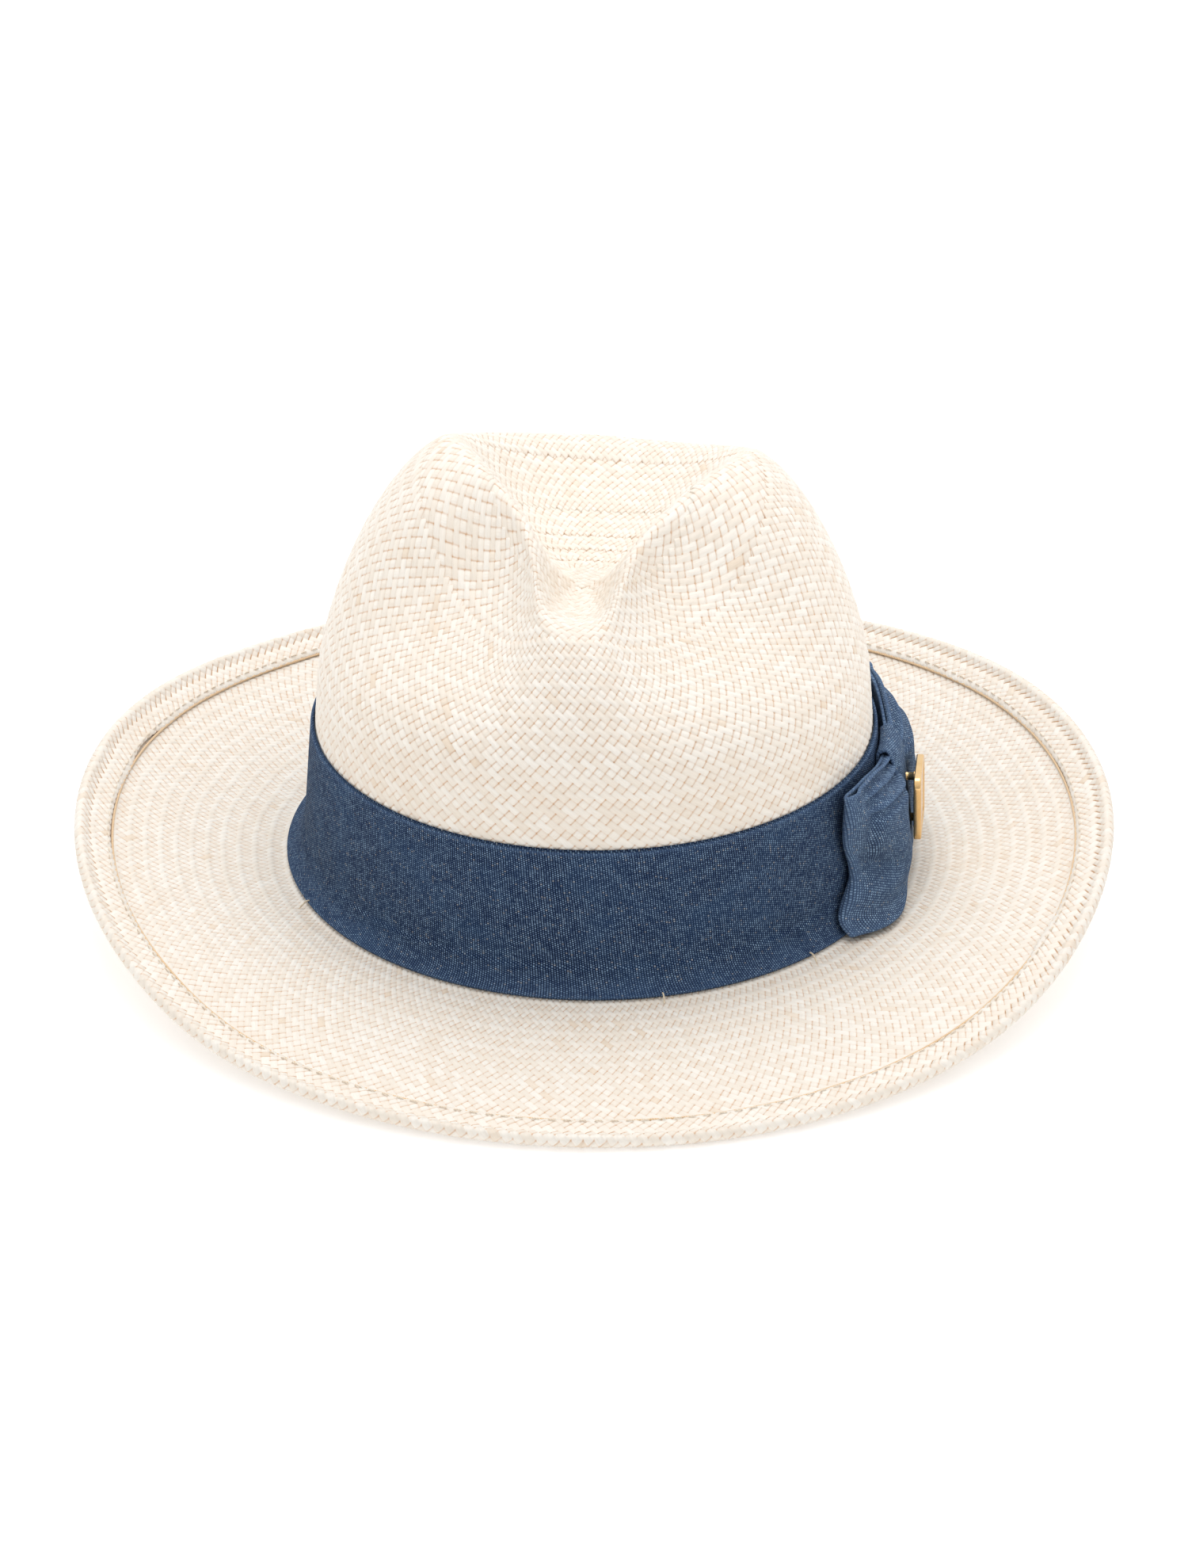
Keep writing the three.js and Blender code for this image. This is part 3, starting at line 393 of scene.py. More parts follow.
# ---- mesh making ------------------------------------------------------------------
def mesh_object(name, verts, faces, flat=None, attrs={}, uvs={}):
    """verts in mm; faces: a list of (n, 4) or (n, 3) arrays; flat marks flat-shaded faces."""
    me = bpy.data.meshes.new(name)
    co = ((np.asarray(verts, np.float64) + SHIFT) / 1000.0).astype(np.float32)
    me.vertices.add(len(co))
    me.vertices.foreach_set("co", co.ravel())
    loops = np.concatenate([f.ravel() for f in faces]).astype(np.int32)
    sizes = np.concatenate([np.full(len(f), f.shape[1]) for f in faces])
    starts = np.concatenate([[0], np.cumsum(sizes)[:-1]]).astype(np.int32)
    me.loops.add(len(loops))
    me.loops.foreach_set("vertex_index", loops)
    me.polygons.add(len(sizes))
    me.polygons.foreach_set("loop_start", starts)
    me.update(calc_edges=True)
    me.polygons.foreach_set("use_smooth", np.ones(len(sizes), bool) if flat is None else ~flat)
    for key, (kind, domain, data) in attrs.items():
        layer = me.attributes.new(key, kind, domain)
        field = "color" if "COLOR" in kind else "value"
        layer.data.foreach_set(field, np.asarray(data, np.float32).ravel())
    for key, data in uvs.items():
        uv_data = np.asarray(data, np.float32).ravel()
        me.uv_layers.new(name=key).data.foreach_set("uv", uv_data)
    me.update()
    ob = bpy.data.objects.new(name, me)
    bpy.context.scene.collection.objects.link(ob)
    return ob


def corner_step(verts, quads):
    """1, or -1 if the closed shape is inside out and its face corners need reversing."""
    a, b, c, d = (verts[quads[:, i]] for i in range(4))
    volume = (np.cross(b, c) * a).sum() + (np.cross(c, d) * a).sum()
    return 1 if volume > 0 else -1


def slab_faces(rows, cols):
    """Faces of a sheet with two sides of rows x cols points: one side, the rim, and all."""
    idx = np.arange(rows * cols).reshape(rows, cols)
    side = np.stack([idx[:-1, :-1], idx[1:, :-1], idx[1:, 1:], idx[:-1, 1:]], -1).reshape(-1, 4)
    border = np.concatenate([idx[:, 0], idx[-1, 1:], idx[-2::-1, -1], idx[0, -2:0:-1]])
    after = np.roll(border, -1)
    other = rows * cols
    rim = np.stack([border, border + other, after + other, after], 1)
    return side, rim, np.concatenate([side, side[:, ::-1] + other, rim])


def torus(name, sections, around, across, edge=None):
    """Closed ring from sections[K, M, 3], with cloth places around[K + 1], across[M + 1]."""
    K, M = sections.shape[:2]
    idx = np.arange(K * M).reshape(K, M)
    i, j = np.meshgrid(np.arange(K), np.arange(M), indexing="ij")
    i1, j1 = (i + 1) % K, (j + 1) % M
    quads = np.stack([idx[i, j], idx[i1, j], idx[i1, j1], idx[i, j1]], -1).reshape(-1, 4)
    U = np.stack([around[i], around[i + 1], around[i + 1], around[i]], -1).reshape(-1, 4)
    V = np.stack([across[j], across[j], across[j + 1], across[j + 1]], -1).reshape(-1, 4)
    cloth = np.stack([U, V], -1)
    bake = np.stack([U / around[-1], (V - across[0]) / (across[-1] - across[0])], -1)
    bake = bake * 0.996 + 0.002
    verts = sections.reshape(-1, 3)
    step = corner_step(verts, quads)
    wear_and_highlight = np.zeros(len(verts)) if edge is None else edge.ravel()
    return mesh_object(name, verts, [quads[:, ::step]], attrs={"edge": ("FLOAT", "POINT", wear_and_highlight)},
                       uvs={"cloth": cloth[:, ::step], "OFBake": bake[:, ::step]})


def stack(name, rings):
    """Closed shape from a list of rings [n, 3], ends filled from their middles."""
    n = len(rings[0])
    verts = np.concatenate(rings + [rings[0].mean(0)[None], rings[-1].mean(0)[None]])
    first, last, top = len(verts) - 2, len(verts) - 1, (len(rings) - 1) * n
    quads, tris = [], []
    for j in range(len(rings) - 1):
        for i in range(n):
            k = (i + 1) % n
            quads.append([j * n + i, j * n + k, (j + 1) * n + k, (j + 1) * n + i])
    for i in range(n):
        k = (i + 1) % n
        tris += [[first, k, i], [last, top + i, top + k]]
    quads, tris = np.array(quads), np.array(tris)
    step = corner_step(verts - verts.mean(0), quads)
    return mesh_object(name, verts, [quads[:, ::step], tris[:, ::step]])


def rings_about(centre, side, up, radius, count):
    """A ring of count points about each centre, in the plane of side and up."""
    a = np.arange(count) * 2 * np.pi / count
    radius = np.asarray(radius)[..., None, None]
    return (centre[..., None, :] + side[..., None, :] * (np.cos(a)[:, None] * radius)
            + up[..., None, :] * (np.sin(a)[:, None] * radius))


# ---- the weave --------------------------------------------------------------------
STRAND_MARGIN = 0.21     # share of a cell, at each side, where a strand dips
STRAND_JITTER = 0.07


def unchanged(rho):
    return 0


def twill_side(across, along, first, second):
    """Lift (1 = full) and painted gap shade of one side. first and second mark the two cells of a
    float.
    """
    inner = (across > 0) & (along > 0)
    side, end = (across == 0) & (along > 0), (along == 0) & (across > 0)
    lift = np.select(
        [inner & first & (across == 1), inner & second & (across == 2),
         inner & (first | second), inner, side & second, side, end & first, end],
        [0.80, 0.80, 1.0, 0.93, 1.05, 0.22, 0.46, 0.34], 0.0)
    # gap: how much painted shade a point gets, full at cell corners, less along cell edges
    gap = np.select([inner, (across == 0) & (along == 0), side & second, side, first],
                    [0.0, 1.0, 0.0, 0.85, 0.36], 0.56)
    return lift, gap


def lattice(surface, N, d0, d1, place, depth, seed, twist, j0=0, j1=None,
            front=STRAW_T / 2, back=STRAW_T / 2, sink=unchanged, thin=unchanged,
            shaded=unchanged):
    """A double-sided 2/1 twill of N strands each way, in rings d0..d1 and columns j0..j1.
    Side A shows b strands floating over two cells and a strands over one; side B the reverse.
    place: share of the surface at a distance rho; front, back: the faces' stand-off from it;
    sink, thin: mm both faces move down or together; shaded: where side B's end gaps get darker
    painted shade."""
    j1 = N if j1 is None else j1
    closed = (j1 - j0) == N
    r = np.random.default_rng(seed)
    margin = STRAND_MARGIN
    loc = np.array([0.0, margin, 1 - margin])
    D = np.arange(d0 - 1, d1 + 2)
    J = np.arange(j0, j1) if closed else np.arange(j0, j1 + 1)
    nD, nJ = len(D), len(J)
    jitter_a = r.uniform(-STRAND_JITTER, STRAND_JITTER, N)
    jitter_b = r.uniform(-STRAND_JITTER, STRAND_JITTER, N)

    d = D[:, None, None, None]
    j = J[None, :, None, None]
    id_a, id_b = j + d, j + 0 * d

    def line(idx, share, jitter):
        here = jitter[idx % N]
        return idx + here + share * (1 + jitter[(idx + 1) % N] - here)
    a = line(id_a, loc[None, None, :, None], jitter_a)
    b = line(id_b, loc[None, None, None, :], jitter_b)
    u, rho = (a + b) / 2, (a - b) / 2
    P, normals = surface.at((u + twist * rho) * 360.0 / N, place(rho))

    k, X, Y = np.broadcast_arrays(np.mod(d, 3) + 0 * j, np.arange(3)[None, None, :, None],
                                  np.arange(3)[None, None, None, :])
    lift_a, gap_a = twill_side(X, Y, k == 0, k == 1)
    lift_b, gap_b = twill_side(Y, X, k == 1, k == 0)
    # side B's end gaps in the shaded ring get extra painted shade
    gap_b = np.where(shaded(rho) & (k == 2) & (Y == 0) & (X > 0), 1.5, gap_b)
    # each strand has its own small drop on side A
    drop_a = r.normal(0, 0.05, (N, nD))
    drop_b = r.normal(0, 0.05, (N, nD))
    di = np.arange(nD)[:, None, None, None] + 0 * k
    drop = np.where(k == 2, drop_a[np.mod(id_a, N) + 0 * k, di],
                    drop_b[np.mod(id_b, N) + 0 * k, np.maximum(di - k, 0)])
    height_a = (front - depth * (1 - lift_a)
                + np.where((X > 0) & (Y > 0), np.clip(drop, -0.12, 0.0), 0))
    height_b = back - depth * (1 - lift_b)
    height_a = height_a - sink(rho) - thin(rho)
    height_b = height_b + sink(rho) - thin(rho)
    verts_a = P + normals * height_a[..., None]
    verts_b = P - normals * height_b[..., None]

    ids = np.arange(nD * nJ * 9).reshape(nD, nJ, 3, 3)

    def corner_id(dd, jj, ix, iy):
        """Vertex ids of local corner (ix, iy) of cells (dd, jj); corner 3 is the next cell's 0."""
        dd, jj = dd + (ix == 3) * 1 - (iy == 3) * 1, jj + (iy == 3) * 1
        return ids[dd, np.mod(jj, nJ) if closed else jj, ix % 3, iy % 3]
    dd, jj = np.meshgrid(np.arange(1, nD - 1), np.arange(j1 - j0), indexing="ij")
    dd, jj = dd.ravel(), jj.ravel()
    quads, corners = [], []
    full = np.array([0, margin, 1 - margin, 1])
    for ix in range(3):
        for iy in range(3):
            around = ((ix, iy), (ix + 1, iy), (ix + 1, iy + 1), (ix, iy + 1))
            quads.append(np.stack([corner_id(dd, jj, x, y) for x, y in around], 1))
            corners.append(np.stack([
                (j0 + jj + D[dd])[:, None] + full[[x for x, y in around]],
                (j0 + jj)[:, None] + full[[y for x, y in around]]], -1))
    Q = np.concatenate(quads)
    C = np.concatenate(corners)                      # quads, 4, (a, b)
    cell_d, cell_j = np.tile(D[dd], 9), np.tile(j0 + jj, 9)
    used, inverse = np.unique(Q, return_inverse=True)
    Q = inverse.reshape(Q.shape)
    nv = len(used)
    # rim between the two sides, along edges that have one face only
    E = np.concatenate([Q[:, [i, (i + 1) % 4]] for i in range(4)])
    starts = np.concatenate([C[:, i] for i in range(4)])
    key = np.sort(E, 1)
    key = key[:, 0].astype(np.int64) * nv + key[:, 1]
    _, first, count = np.unique(key, return_index=True, return_counts=True)
    border = first[count == 1]
    rim = np.stack([E[border, 1], E[border, 0], E[border, 0] + nv, E[border, 1] + nv], 1)
    # each strand's tint and fleck
    kind = np.mod(cell_d, 3)
    dn = cell_d - D[0]
    id_b, id_a = np.mod(cell_j, N), np.mod(cell_j + cell_d, N)
    tint_b, tint_a, fleck_b, fleck_a = (r.random((N, nD + 4)) for _ in range(4))

    def side_a(of_a, of_b):
        return np.where(kind == 2, of_a[id_a, dn], of_b[id_b, dn - kind + 1])

    def side_b(of_a, of_b):
        return np.where(kind == 2, of_b[id_b, dn], of_a[id_a, dn - (kind == 1) + 1])
    shows_b = [kind != 2, kind == 2]                 # on side A, on side B
    face = [np.stack([side(tint_a, tint_b), side(fleck_a, fleck_b), on_b.astype(float),
                      np.ones(len(Q))], 1) for side, on_b in zip((side_a, side_b), shows_b)]
    face.append(np.tile([0.5, 0.5, 0.0, 1.0], (len(rim), 1)))

    def fibre(at, on_b):
        """Along and across the strand that shows, in strand widths."""
        a, b, on_b = at[..., 0], at[..., 1], on_b[:, None]
        return np.stack([np.where(on_b, a, b + 300), np.where(on_b, b, a + 171)], -1)

    def unwrap(at, lift):
        rings = (at[..., 0] - at[..., 1]) / 2 - (d0 - 1) / 2.0
        return np.stack([(at[..., 1] - j0) / (j1 - j0) * 0.996 + 0.002,
                         lift + 0.49 * rings / ((d1 - d0 + 2) / 2.0 + 1.0)], -1)
    rim_uv = np.stack([(starts[border][:, 1] - j0) / (j1 - j0) * 0.99 + 0.002,
                       np.full(len(border), 0.4965)], -1)
    rim_uv = np.stack([rim_uv + [0.002, 0], rim_uv, rim_uv + [0, 0.003],
                       rim_uv + [0.002, 0.003]], 1)
    C_back = C[:, ::-1]
    return dict(
        verts=np.concatenate([verts_a.reshape(-1, 3)[used], verts_b.reshape(-1, 3)[used]]),
        quads=np.concatenate([Q, Q[:, ::-1] + nv, rim]),
        gap=np.concatenate([gap_a.reshape(-1)[used], gap_b.reshape(-1)[used]]),
        face=np.concatenate(face),
        fibre=np.concatenate([fibre(C, shows_b[0]), fibre(C_back, shows_b[1]),
                              np.zeros((len(rim), 4, 2))]),
        uv=np.concatenate([unwrap(C, 0.003), unwrap(C_back, 0.503), rim_uv]),
        flat=np.concatenate([np.zeros(2 * len(Q), bool), np.ones(len(rim), bool)]))


def merge(parts):
    """Joins patches into one mesh, each with its own strip of the UV square."""
    out = {key: [] for key in parts[0]}
    base = 0
    weight = np.array([len(p["quads"]) for p in parts], float)
    edge = np.concatenate([[0], np.cumsum(weight / weight.sum())])
    for i, part in enumerate(parts):
        uv = part["uv"].copy()
        uv[..., 0] = edge[i] + uv[..., 0] * (edge[i + 1] - edge[i])
        for key, data in {**part, "uv": uv, "quads": part["quads"] + base}.items():
            out[key].append(data)
        base += len(part["verts"])
    return {key: np.concatenate(lists) for key, lists in out.items()}


def share_normals(parts):
    """One smooth normal at every point, also where two pieces of a sheet meet along a cut."""
    sums = []
    for part in parts:
        verts, quads = part["verts"], part["quads"][~part["flat"]]
        a, b, c, d = (verts[quads[:, i]] for i in range(4))
        fn = np.cross(c - a, d - b)
        fn = fn / np.maximum(np.linalg.norm(fn, axis=1, keepdims=True), 1e-9) ** 0.7
        total = np.zeros_like(verts)
        for i in range(4):
            for axis in range(3):
                total[:, axis] += np.bincount(quads[:, i], fn[:, axis], len(verts))
        sums.append(total)
    places, sums = np.concatenate([p["verts"] for p in parts]), np.concatenate(sums)
    key = np.round(places * 2000).astype(np.int64)
    inverse = np.unique(key, axis=0, return_inverse=True)[1].ravel()
    total = np.stack([np.bincount(inverse, sums[:, axis]) for axis in range(3)], 1)
    normals = unit(total[inverse])
    start = 0
    for part in parts:
        part["normal"] = normals[start:start + len(part["verts"])]
        start += len(part["verts"])


def straw_object(name, data):
    step = corner_step(data["verts"], data["quads"])
    ob = mesh_object(name, data["verts"], [data["quads"][:, ::step]], flat=data["flat"], attrs={
        "gap": ("FLOAT", "POINT", data["gap"]),
        "strand": ("FLOAT_COLOR", "FACE", data["face"]),
    }, uvs={"fibre": data["fibre"][:, ::step], "OFBake": data["uv"][:, ::step]})
    if "normal" in data:
        normals = (data["normal"] * step).astype(np.float32)
        ob.data.normals_split_custom_set_from_vertices(normals)
    return ob


# crown: one strand count on the wall, then fewer in steps towards the middle
CROWN_COUNTS = [154, 106, 73, 51, 35, 24]
CROWN_RING = 3.34        # mm of surface to two rings
STRAND_MIN = 2.42        # mm; below this a zone gives way to the next
BUTTON_HOLE = 26         # perimeter (mm) where the innermost zone stops


def crown_parts():
    rings = crown.length.mean() / CROWN_RING
    ring_count = 2 * rings
    shares = np.linspace(0.02, 0.75, 400)
    perimeters = np.array([crown.perimeter(v) for v in shares])
    limits = []
    for least in [count * STRAND_MIN for count in CROWN_COUNTS[:-1]] + [BUTTON_HOLE]:
        share = shares[int(np.argmax(perimeters > least))]
        limits.append(max(2, int(round(share * ring_count))))

    def zone(count, start, end, seed, **more):
        return lattice(crown, count, start, end, lambda rho: rho / rings, 0.44, seed, 0.2,
                       front=0.0, back=STRAW_T, **more)

    def tucked(i):
        """An upper zone, whose outer rim sinks under its neighbour."""
        end = limits[i - 1]
        return zone(CROWN_COUNTS[i], limits[i], end, 20 + i,
                    sink=lambda rho: 0.32 * smooth(end / 2 - 0.9, end / 2 - 0.1, rho))
    count, last = CROWN_COUNTS[0], int(ring_count) - 1
    return {
        "straw_crown_left": zone(count, limits[0], last, 11, j0=0, j1=count // 2),
        "straw_crown_right": zone(count, limits[0], last, 11, j0=count // 2, j1=count),
        "straw_crown_top": merge([tucked(i) for i in range(1, len(CROWN_COUNTS))] + [button()])}


def button():
    """Small square patch of plain weave over the middle of the crown."""
    n, width, margin, turn = 7, 1.75, 0.17, math.radians(38)
    loc = np.array([0, margin, 1 - margin])
    grid = np.concatenate([np.concatenate([loc + i for i in range(n)]), [n]])
    m = len(grid)
    line = (grid - n / 2) * width
    X, Y = np.meshgrid(line, line, indexing="ij")
    c, s = math.cos(turn), math.sin(turn)
    px, py = X * c - Y * s, X * s + Y * c
    shares = np.linspace(0, 0.12, 60)
    radii = np.array([np.linalg.norm(
        (crown.points[:, int(v * (crown.row_count - 1))] - CENTRE)[:, :2], axis=1).mean()
        for v in shares])
    P, N = crown.at(np.degrees(np.arctan2(px, -py)), np.interp(np.hypot(px, py), radii, shares))
    P = np.stack([CENTRE[0] + px, CENTRE[1] + py, P[..., 2]], -1)
    on_line = np.mod(grid, 1) < 1e-6
    on_x, on_y = np.meshgrid(on_line, on_line, indexing="ij")
    lift = np.where(on_x & on_y, 0.0, np.where(on_x | on_y, 0.2, 0.95))
    top = P + N * (0.35 - 0.5 * (1 - lift))[..., None]
    bottom = P - N * (1.1 - 0.3 * (1 - lift))[..., None]
    side, rim, quads = slab_faces(m, m)
    cell_x, cell_y = np.indices((m - 1, m - 1)).reshape(2, -1) // 3
    tint = np.random.default_rng(5).random((n + 1, n + 1))[cell_x, cell_y]
    on_b = ((cell_x + cell_y) % 2).astype(float)
    colour = np.stack([tint, np.full_like(tint, .5), on_b, np.ones_like(tint)], 1)
    co = np.stack([X.ravel() / width, Y.ravel() / width], -1)
    fibre = co[side]
    fibre = np.where(on_b[:, None, None] > .5, fibre, fibre[..., ::-1] + 50)
    uv = ((co - co.min()) / (co.max() - co.min()))[side] * [0.98, 0.48] + [0.01, 0.005]
    rim_uv = [[.5, .497], [.501, .497], [.501, .499], [.5, .499]]
    return dict(
        verts=np.concatenate([top.reshape(-1, 3), bottom.reshape(-1, 3)]), quads=quads,
        # gap: painted shade at the crossings and along the strand edges
        gap=np.tile(np.where(on_x & on_y, 1.0, np.where(on_x | on_y, 0.6, 0)).ravel(), 2),
        face=np.concatenate([colour, colour, np.tile([.5, .5, 0, 1.], (len(rim), 1))]),
        fibre=np.concatenate([fibre, fibre[:, ::-1], np.zeros((len(rim), 4, 2))]),
        uv=np.concatenate([uv, uv[:, ::-1] + [0, 0.5], np.tile([rim_uv], (len(rim), 1, 1))]),
        flat=np.zeros(len(quads), bool))


BRIM_COUNT = 308
BRIM_RING = 3.05         # mm of surface to two rings


def brim_parts():
    """Brim, fold and hem: one sheet of finer weave, cut along strand edges into four."""
    mean = brim.length.mean()
    last = int(2 * mean / BRIM_RING) - 1
    half = last / 2
    knee = 1 - 0.22 / mean

    def place(rho):
        return np.where(rho < half, rho / half * knee, knee + (rho - half) * 2 * (1 - knee))
    fold = (mean - (HEM_W - 2.05) - 2.2) / mean * last / 2
    # ring where side B's end gaps get darker painted shade
    dark_ring = fold + 4.0 / BRIM_RING
    quarter = BRIM_COUNT // 4
    return {"straw_brim_" + name: lattice(
        brim, BRIM_COUNT, 1, last, place, 0.42, 41, 0.15, j0=i * quarter, j1=(i + 1) * quarter,
        thin=lambda rho: 0.30 * smooth(half - 0.7, half, rho),
        shaded=lambda rho: np.abs(rho - dark_ring) < 0.75)
        for i, name in enumerate(["front_left", "back_left", "back_right", "front_right"])}


# ---- materials --------------------------------------------------------------------
def srgb(*channels):
    """Linear RGBA from 0..255 display values."""
    c = np.array(channels, float) / 255.0
    return tuple(np.where(c <= 0.04045, c / 12.92, ((c + 0.055) / 1.055) ** 2.4)) + (1.0,)


def put(tree, socket, value):
    if isinstance(value, bpy.types.NodeSocket):
        tree.links.new(value, socket)
    else:
        socket.default_value = value


def math_node(tree, operation, *values):
    node = tree.nodes.new("ShaderNodeMath")
    node.operation = operation
    for socket, value in zip(node.inputs, values):
        put(tree, socket, value)
    return node.outputs[0]


class Mat:
    """A little node-graph writer."""

    def __init__(self, name):
        self.material = bpy.data.materials.new(name)
        self.material.use_nodes = True
        self.tree = self.material.node_tree
        self.shader = self.tree.nodes["Principled BSDF"]

    def node(self, kind, inputs={}, **settings):
        node = self.tree.nodes.new(kind)
        for key, value in settings.items():
            setattr(node, key, value)
        for key, value in inputs.items():
            put(self.tree, node.inputs[key], value)
        return node

    def math(self, operation, a, b=0.0, c=0.0):
        return math_node(self.tree, operation, a, b, c)

    def times(self, a, b):
        return self.math("MULTIPLY", a, b)

    def add(self, a, b):
        return self.math("ADD", a, b)

    def wave(self, value):
        """Sine, moved to run from 0 to 1."""
        return self.math("MULTIPLY_ADD", self.math("SINE", value), 0.5, 0.5)

    def mix(self, factor, a, b):
        return self.node("ShaderNodeMix", {0: factor, 6: a, 7: b}, data_type="RGBA").outputs[2]

    def noise(self, vector, scale, detail=2.0, rough=0.5):
        return self.node("ShaderNodeTexNoise", {
            "Vector": vector, "Scale": scale, "Detail": detail,
            "Roughness": rough}).outputs["Fac"]

    def mapping(self, vector, scale=(1, 1, 1), loc=(0, 0, 0), rot=(0, 0, 0)):
        return self.node("ShaderNodeMapping", {
            0: vector, "Scale": scale, "Location": loc, "Rotation": rot}).outputs[0]

    def grain(self, vector, stretch, detail=2.0, rough=0.5, loc=(0, 0, 0)):
        """Noise with its own scale along each axis."""
        mapped = self.mapping(vector, scale=(*stretch, 1)[:3], loc=loc)
        return self.noise(mapped, scale=1.0, detail=detail, rough=rough)

    def ramp(self, value, over, to=(0.0, 1.0)):
        """Eased map of the range over onto the range to."""
        return self.node("ShaderNodeMapRange", dict(enumerate((value, *over, *to))),
                         interpolation_type="SMOOTHSTEP").outputs[0]

    def attr(self, name, output="Fac"):
        return self.node("ShaderNodeAttribute", attribute_name=name).outputs[output]

    def uv(self, name):
        return self.node("ShaderNodeUVMap", uv_map=name).outputs[0]

    def obj(self):
        return self.node("ShaderNodeTexCoord").outputs["Object"]

    def split(self, vector):
        return self.node("ShaderNodeSeparateXYZ", {0: vector}).outputs

    def bump(self, height, strength, distance):
        return self.node("ShaderNodeBump", {
            "Strength": strength, "Distance": distance, "Height": height}).outputs[0]

    def out(self, color, rough, normal, **more):
        inputs = {"Base Color": color, "Roughness": rough, "Normal": normal}
        inputs.update({key.replace("_", " "): value for key, value in more.items()})
        for key, value in inputs.items():
            put(self.tree, self.shader.inputs[key], value)
        return self.material


def straw_material():
    m = Mat("straw_weave")
    gap = m.attr("gap")
    tint, fleck, _ = m.node("ShaderNodeSeparateColor",
                            {0: m.attr("strand", "Color")}).outputs
    fibre = m.uv("fibre")
    streak = m.grain(fibre, stretch=(0.55, 9.0), detail=3.0, rough=0.6)
    fine = m.grain(fibre, stretch=(1.6, 26.0), detail=2.0, rough=0.6)
    base = m.mix(m.ramp(tint, over=(0.0, 1.0)), srgb(240, 230, 216), srgb(247, 242, 233))
    base = m.mix(m.ramp(streak, over=(0.42, 0.78), to=(0.0, 0.45)), base, srgb(232, 216, 196))
    base = m.mix(m.ramp(fine, over=(0.3, 0.8), to=(0.0, 0.25)), base, srgb(252, 247, 239))
    # a few honey-coloured strands
    honey = m.ramp(fleck, over=(0.975, 0.995), to=(0.0, 0.32))
    base = m.mix(honey, base, srgb(222, 186, 140))
    broad = m.noise(m.obj(), scale=28.0)
    base = m.mix(m.ramp(broad, over=(0.42, 0.7), to=(0.0, 0.15)), base, srgb(241, 229, 212))
    # painted shade: brown down in the gaps between strands, its strength varied by noise
    shade_noise = m.noise(m.obj(), scale=420.0, detail=1.0)
    shade = m.math("POWER", gap, 2.5)
    shade = m.times(shade, m.ramp(shade_noise, over=(0.25, 0.7), to=(0.5, 1.15)))
    shade = m.math("MINIMUM", shade, 0.9)
    color = m.mix(shade, base, srgb(204, 154, 104))
    # painted shade, darker still where gap passes 1: a ring of end gaps on the hem
    color = m.mix(m.ramp(gap, over=(1.02, 1.40), to=(0.0, 0.7)), color, srgb(170, 132, 94))
    height = m.add(m.times(streak, 0.7), m.times(fine, 0.3))
    return m.out(color, m.ramp(streak, over=(0.2, 0.8), to=(0.42, 0.62)),
                 m.bump(height, strength=0.45, distance=0.00035),
                 Specular_IOR_Level=0.6, Sheen_Weight=0.16, Sheen_Roughness=0.4)


RIB_PITCH, WEFT_PITCH = 0.72, 0.60       # mm
RIB_SLANT, WEFT_STEP = 0.11, 0.37        # rib drift per mm; share of a pitch from rib to rib


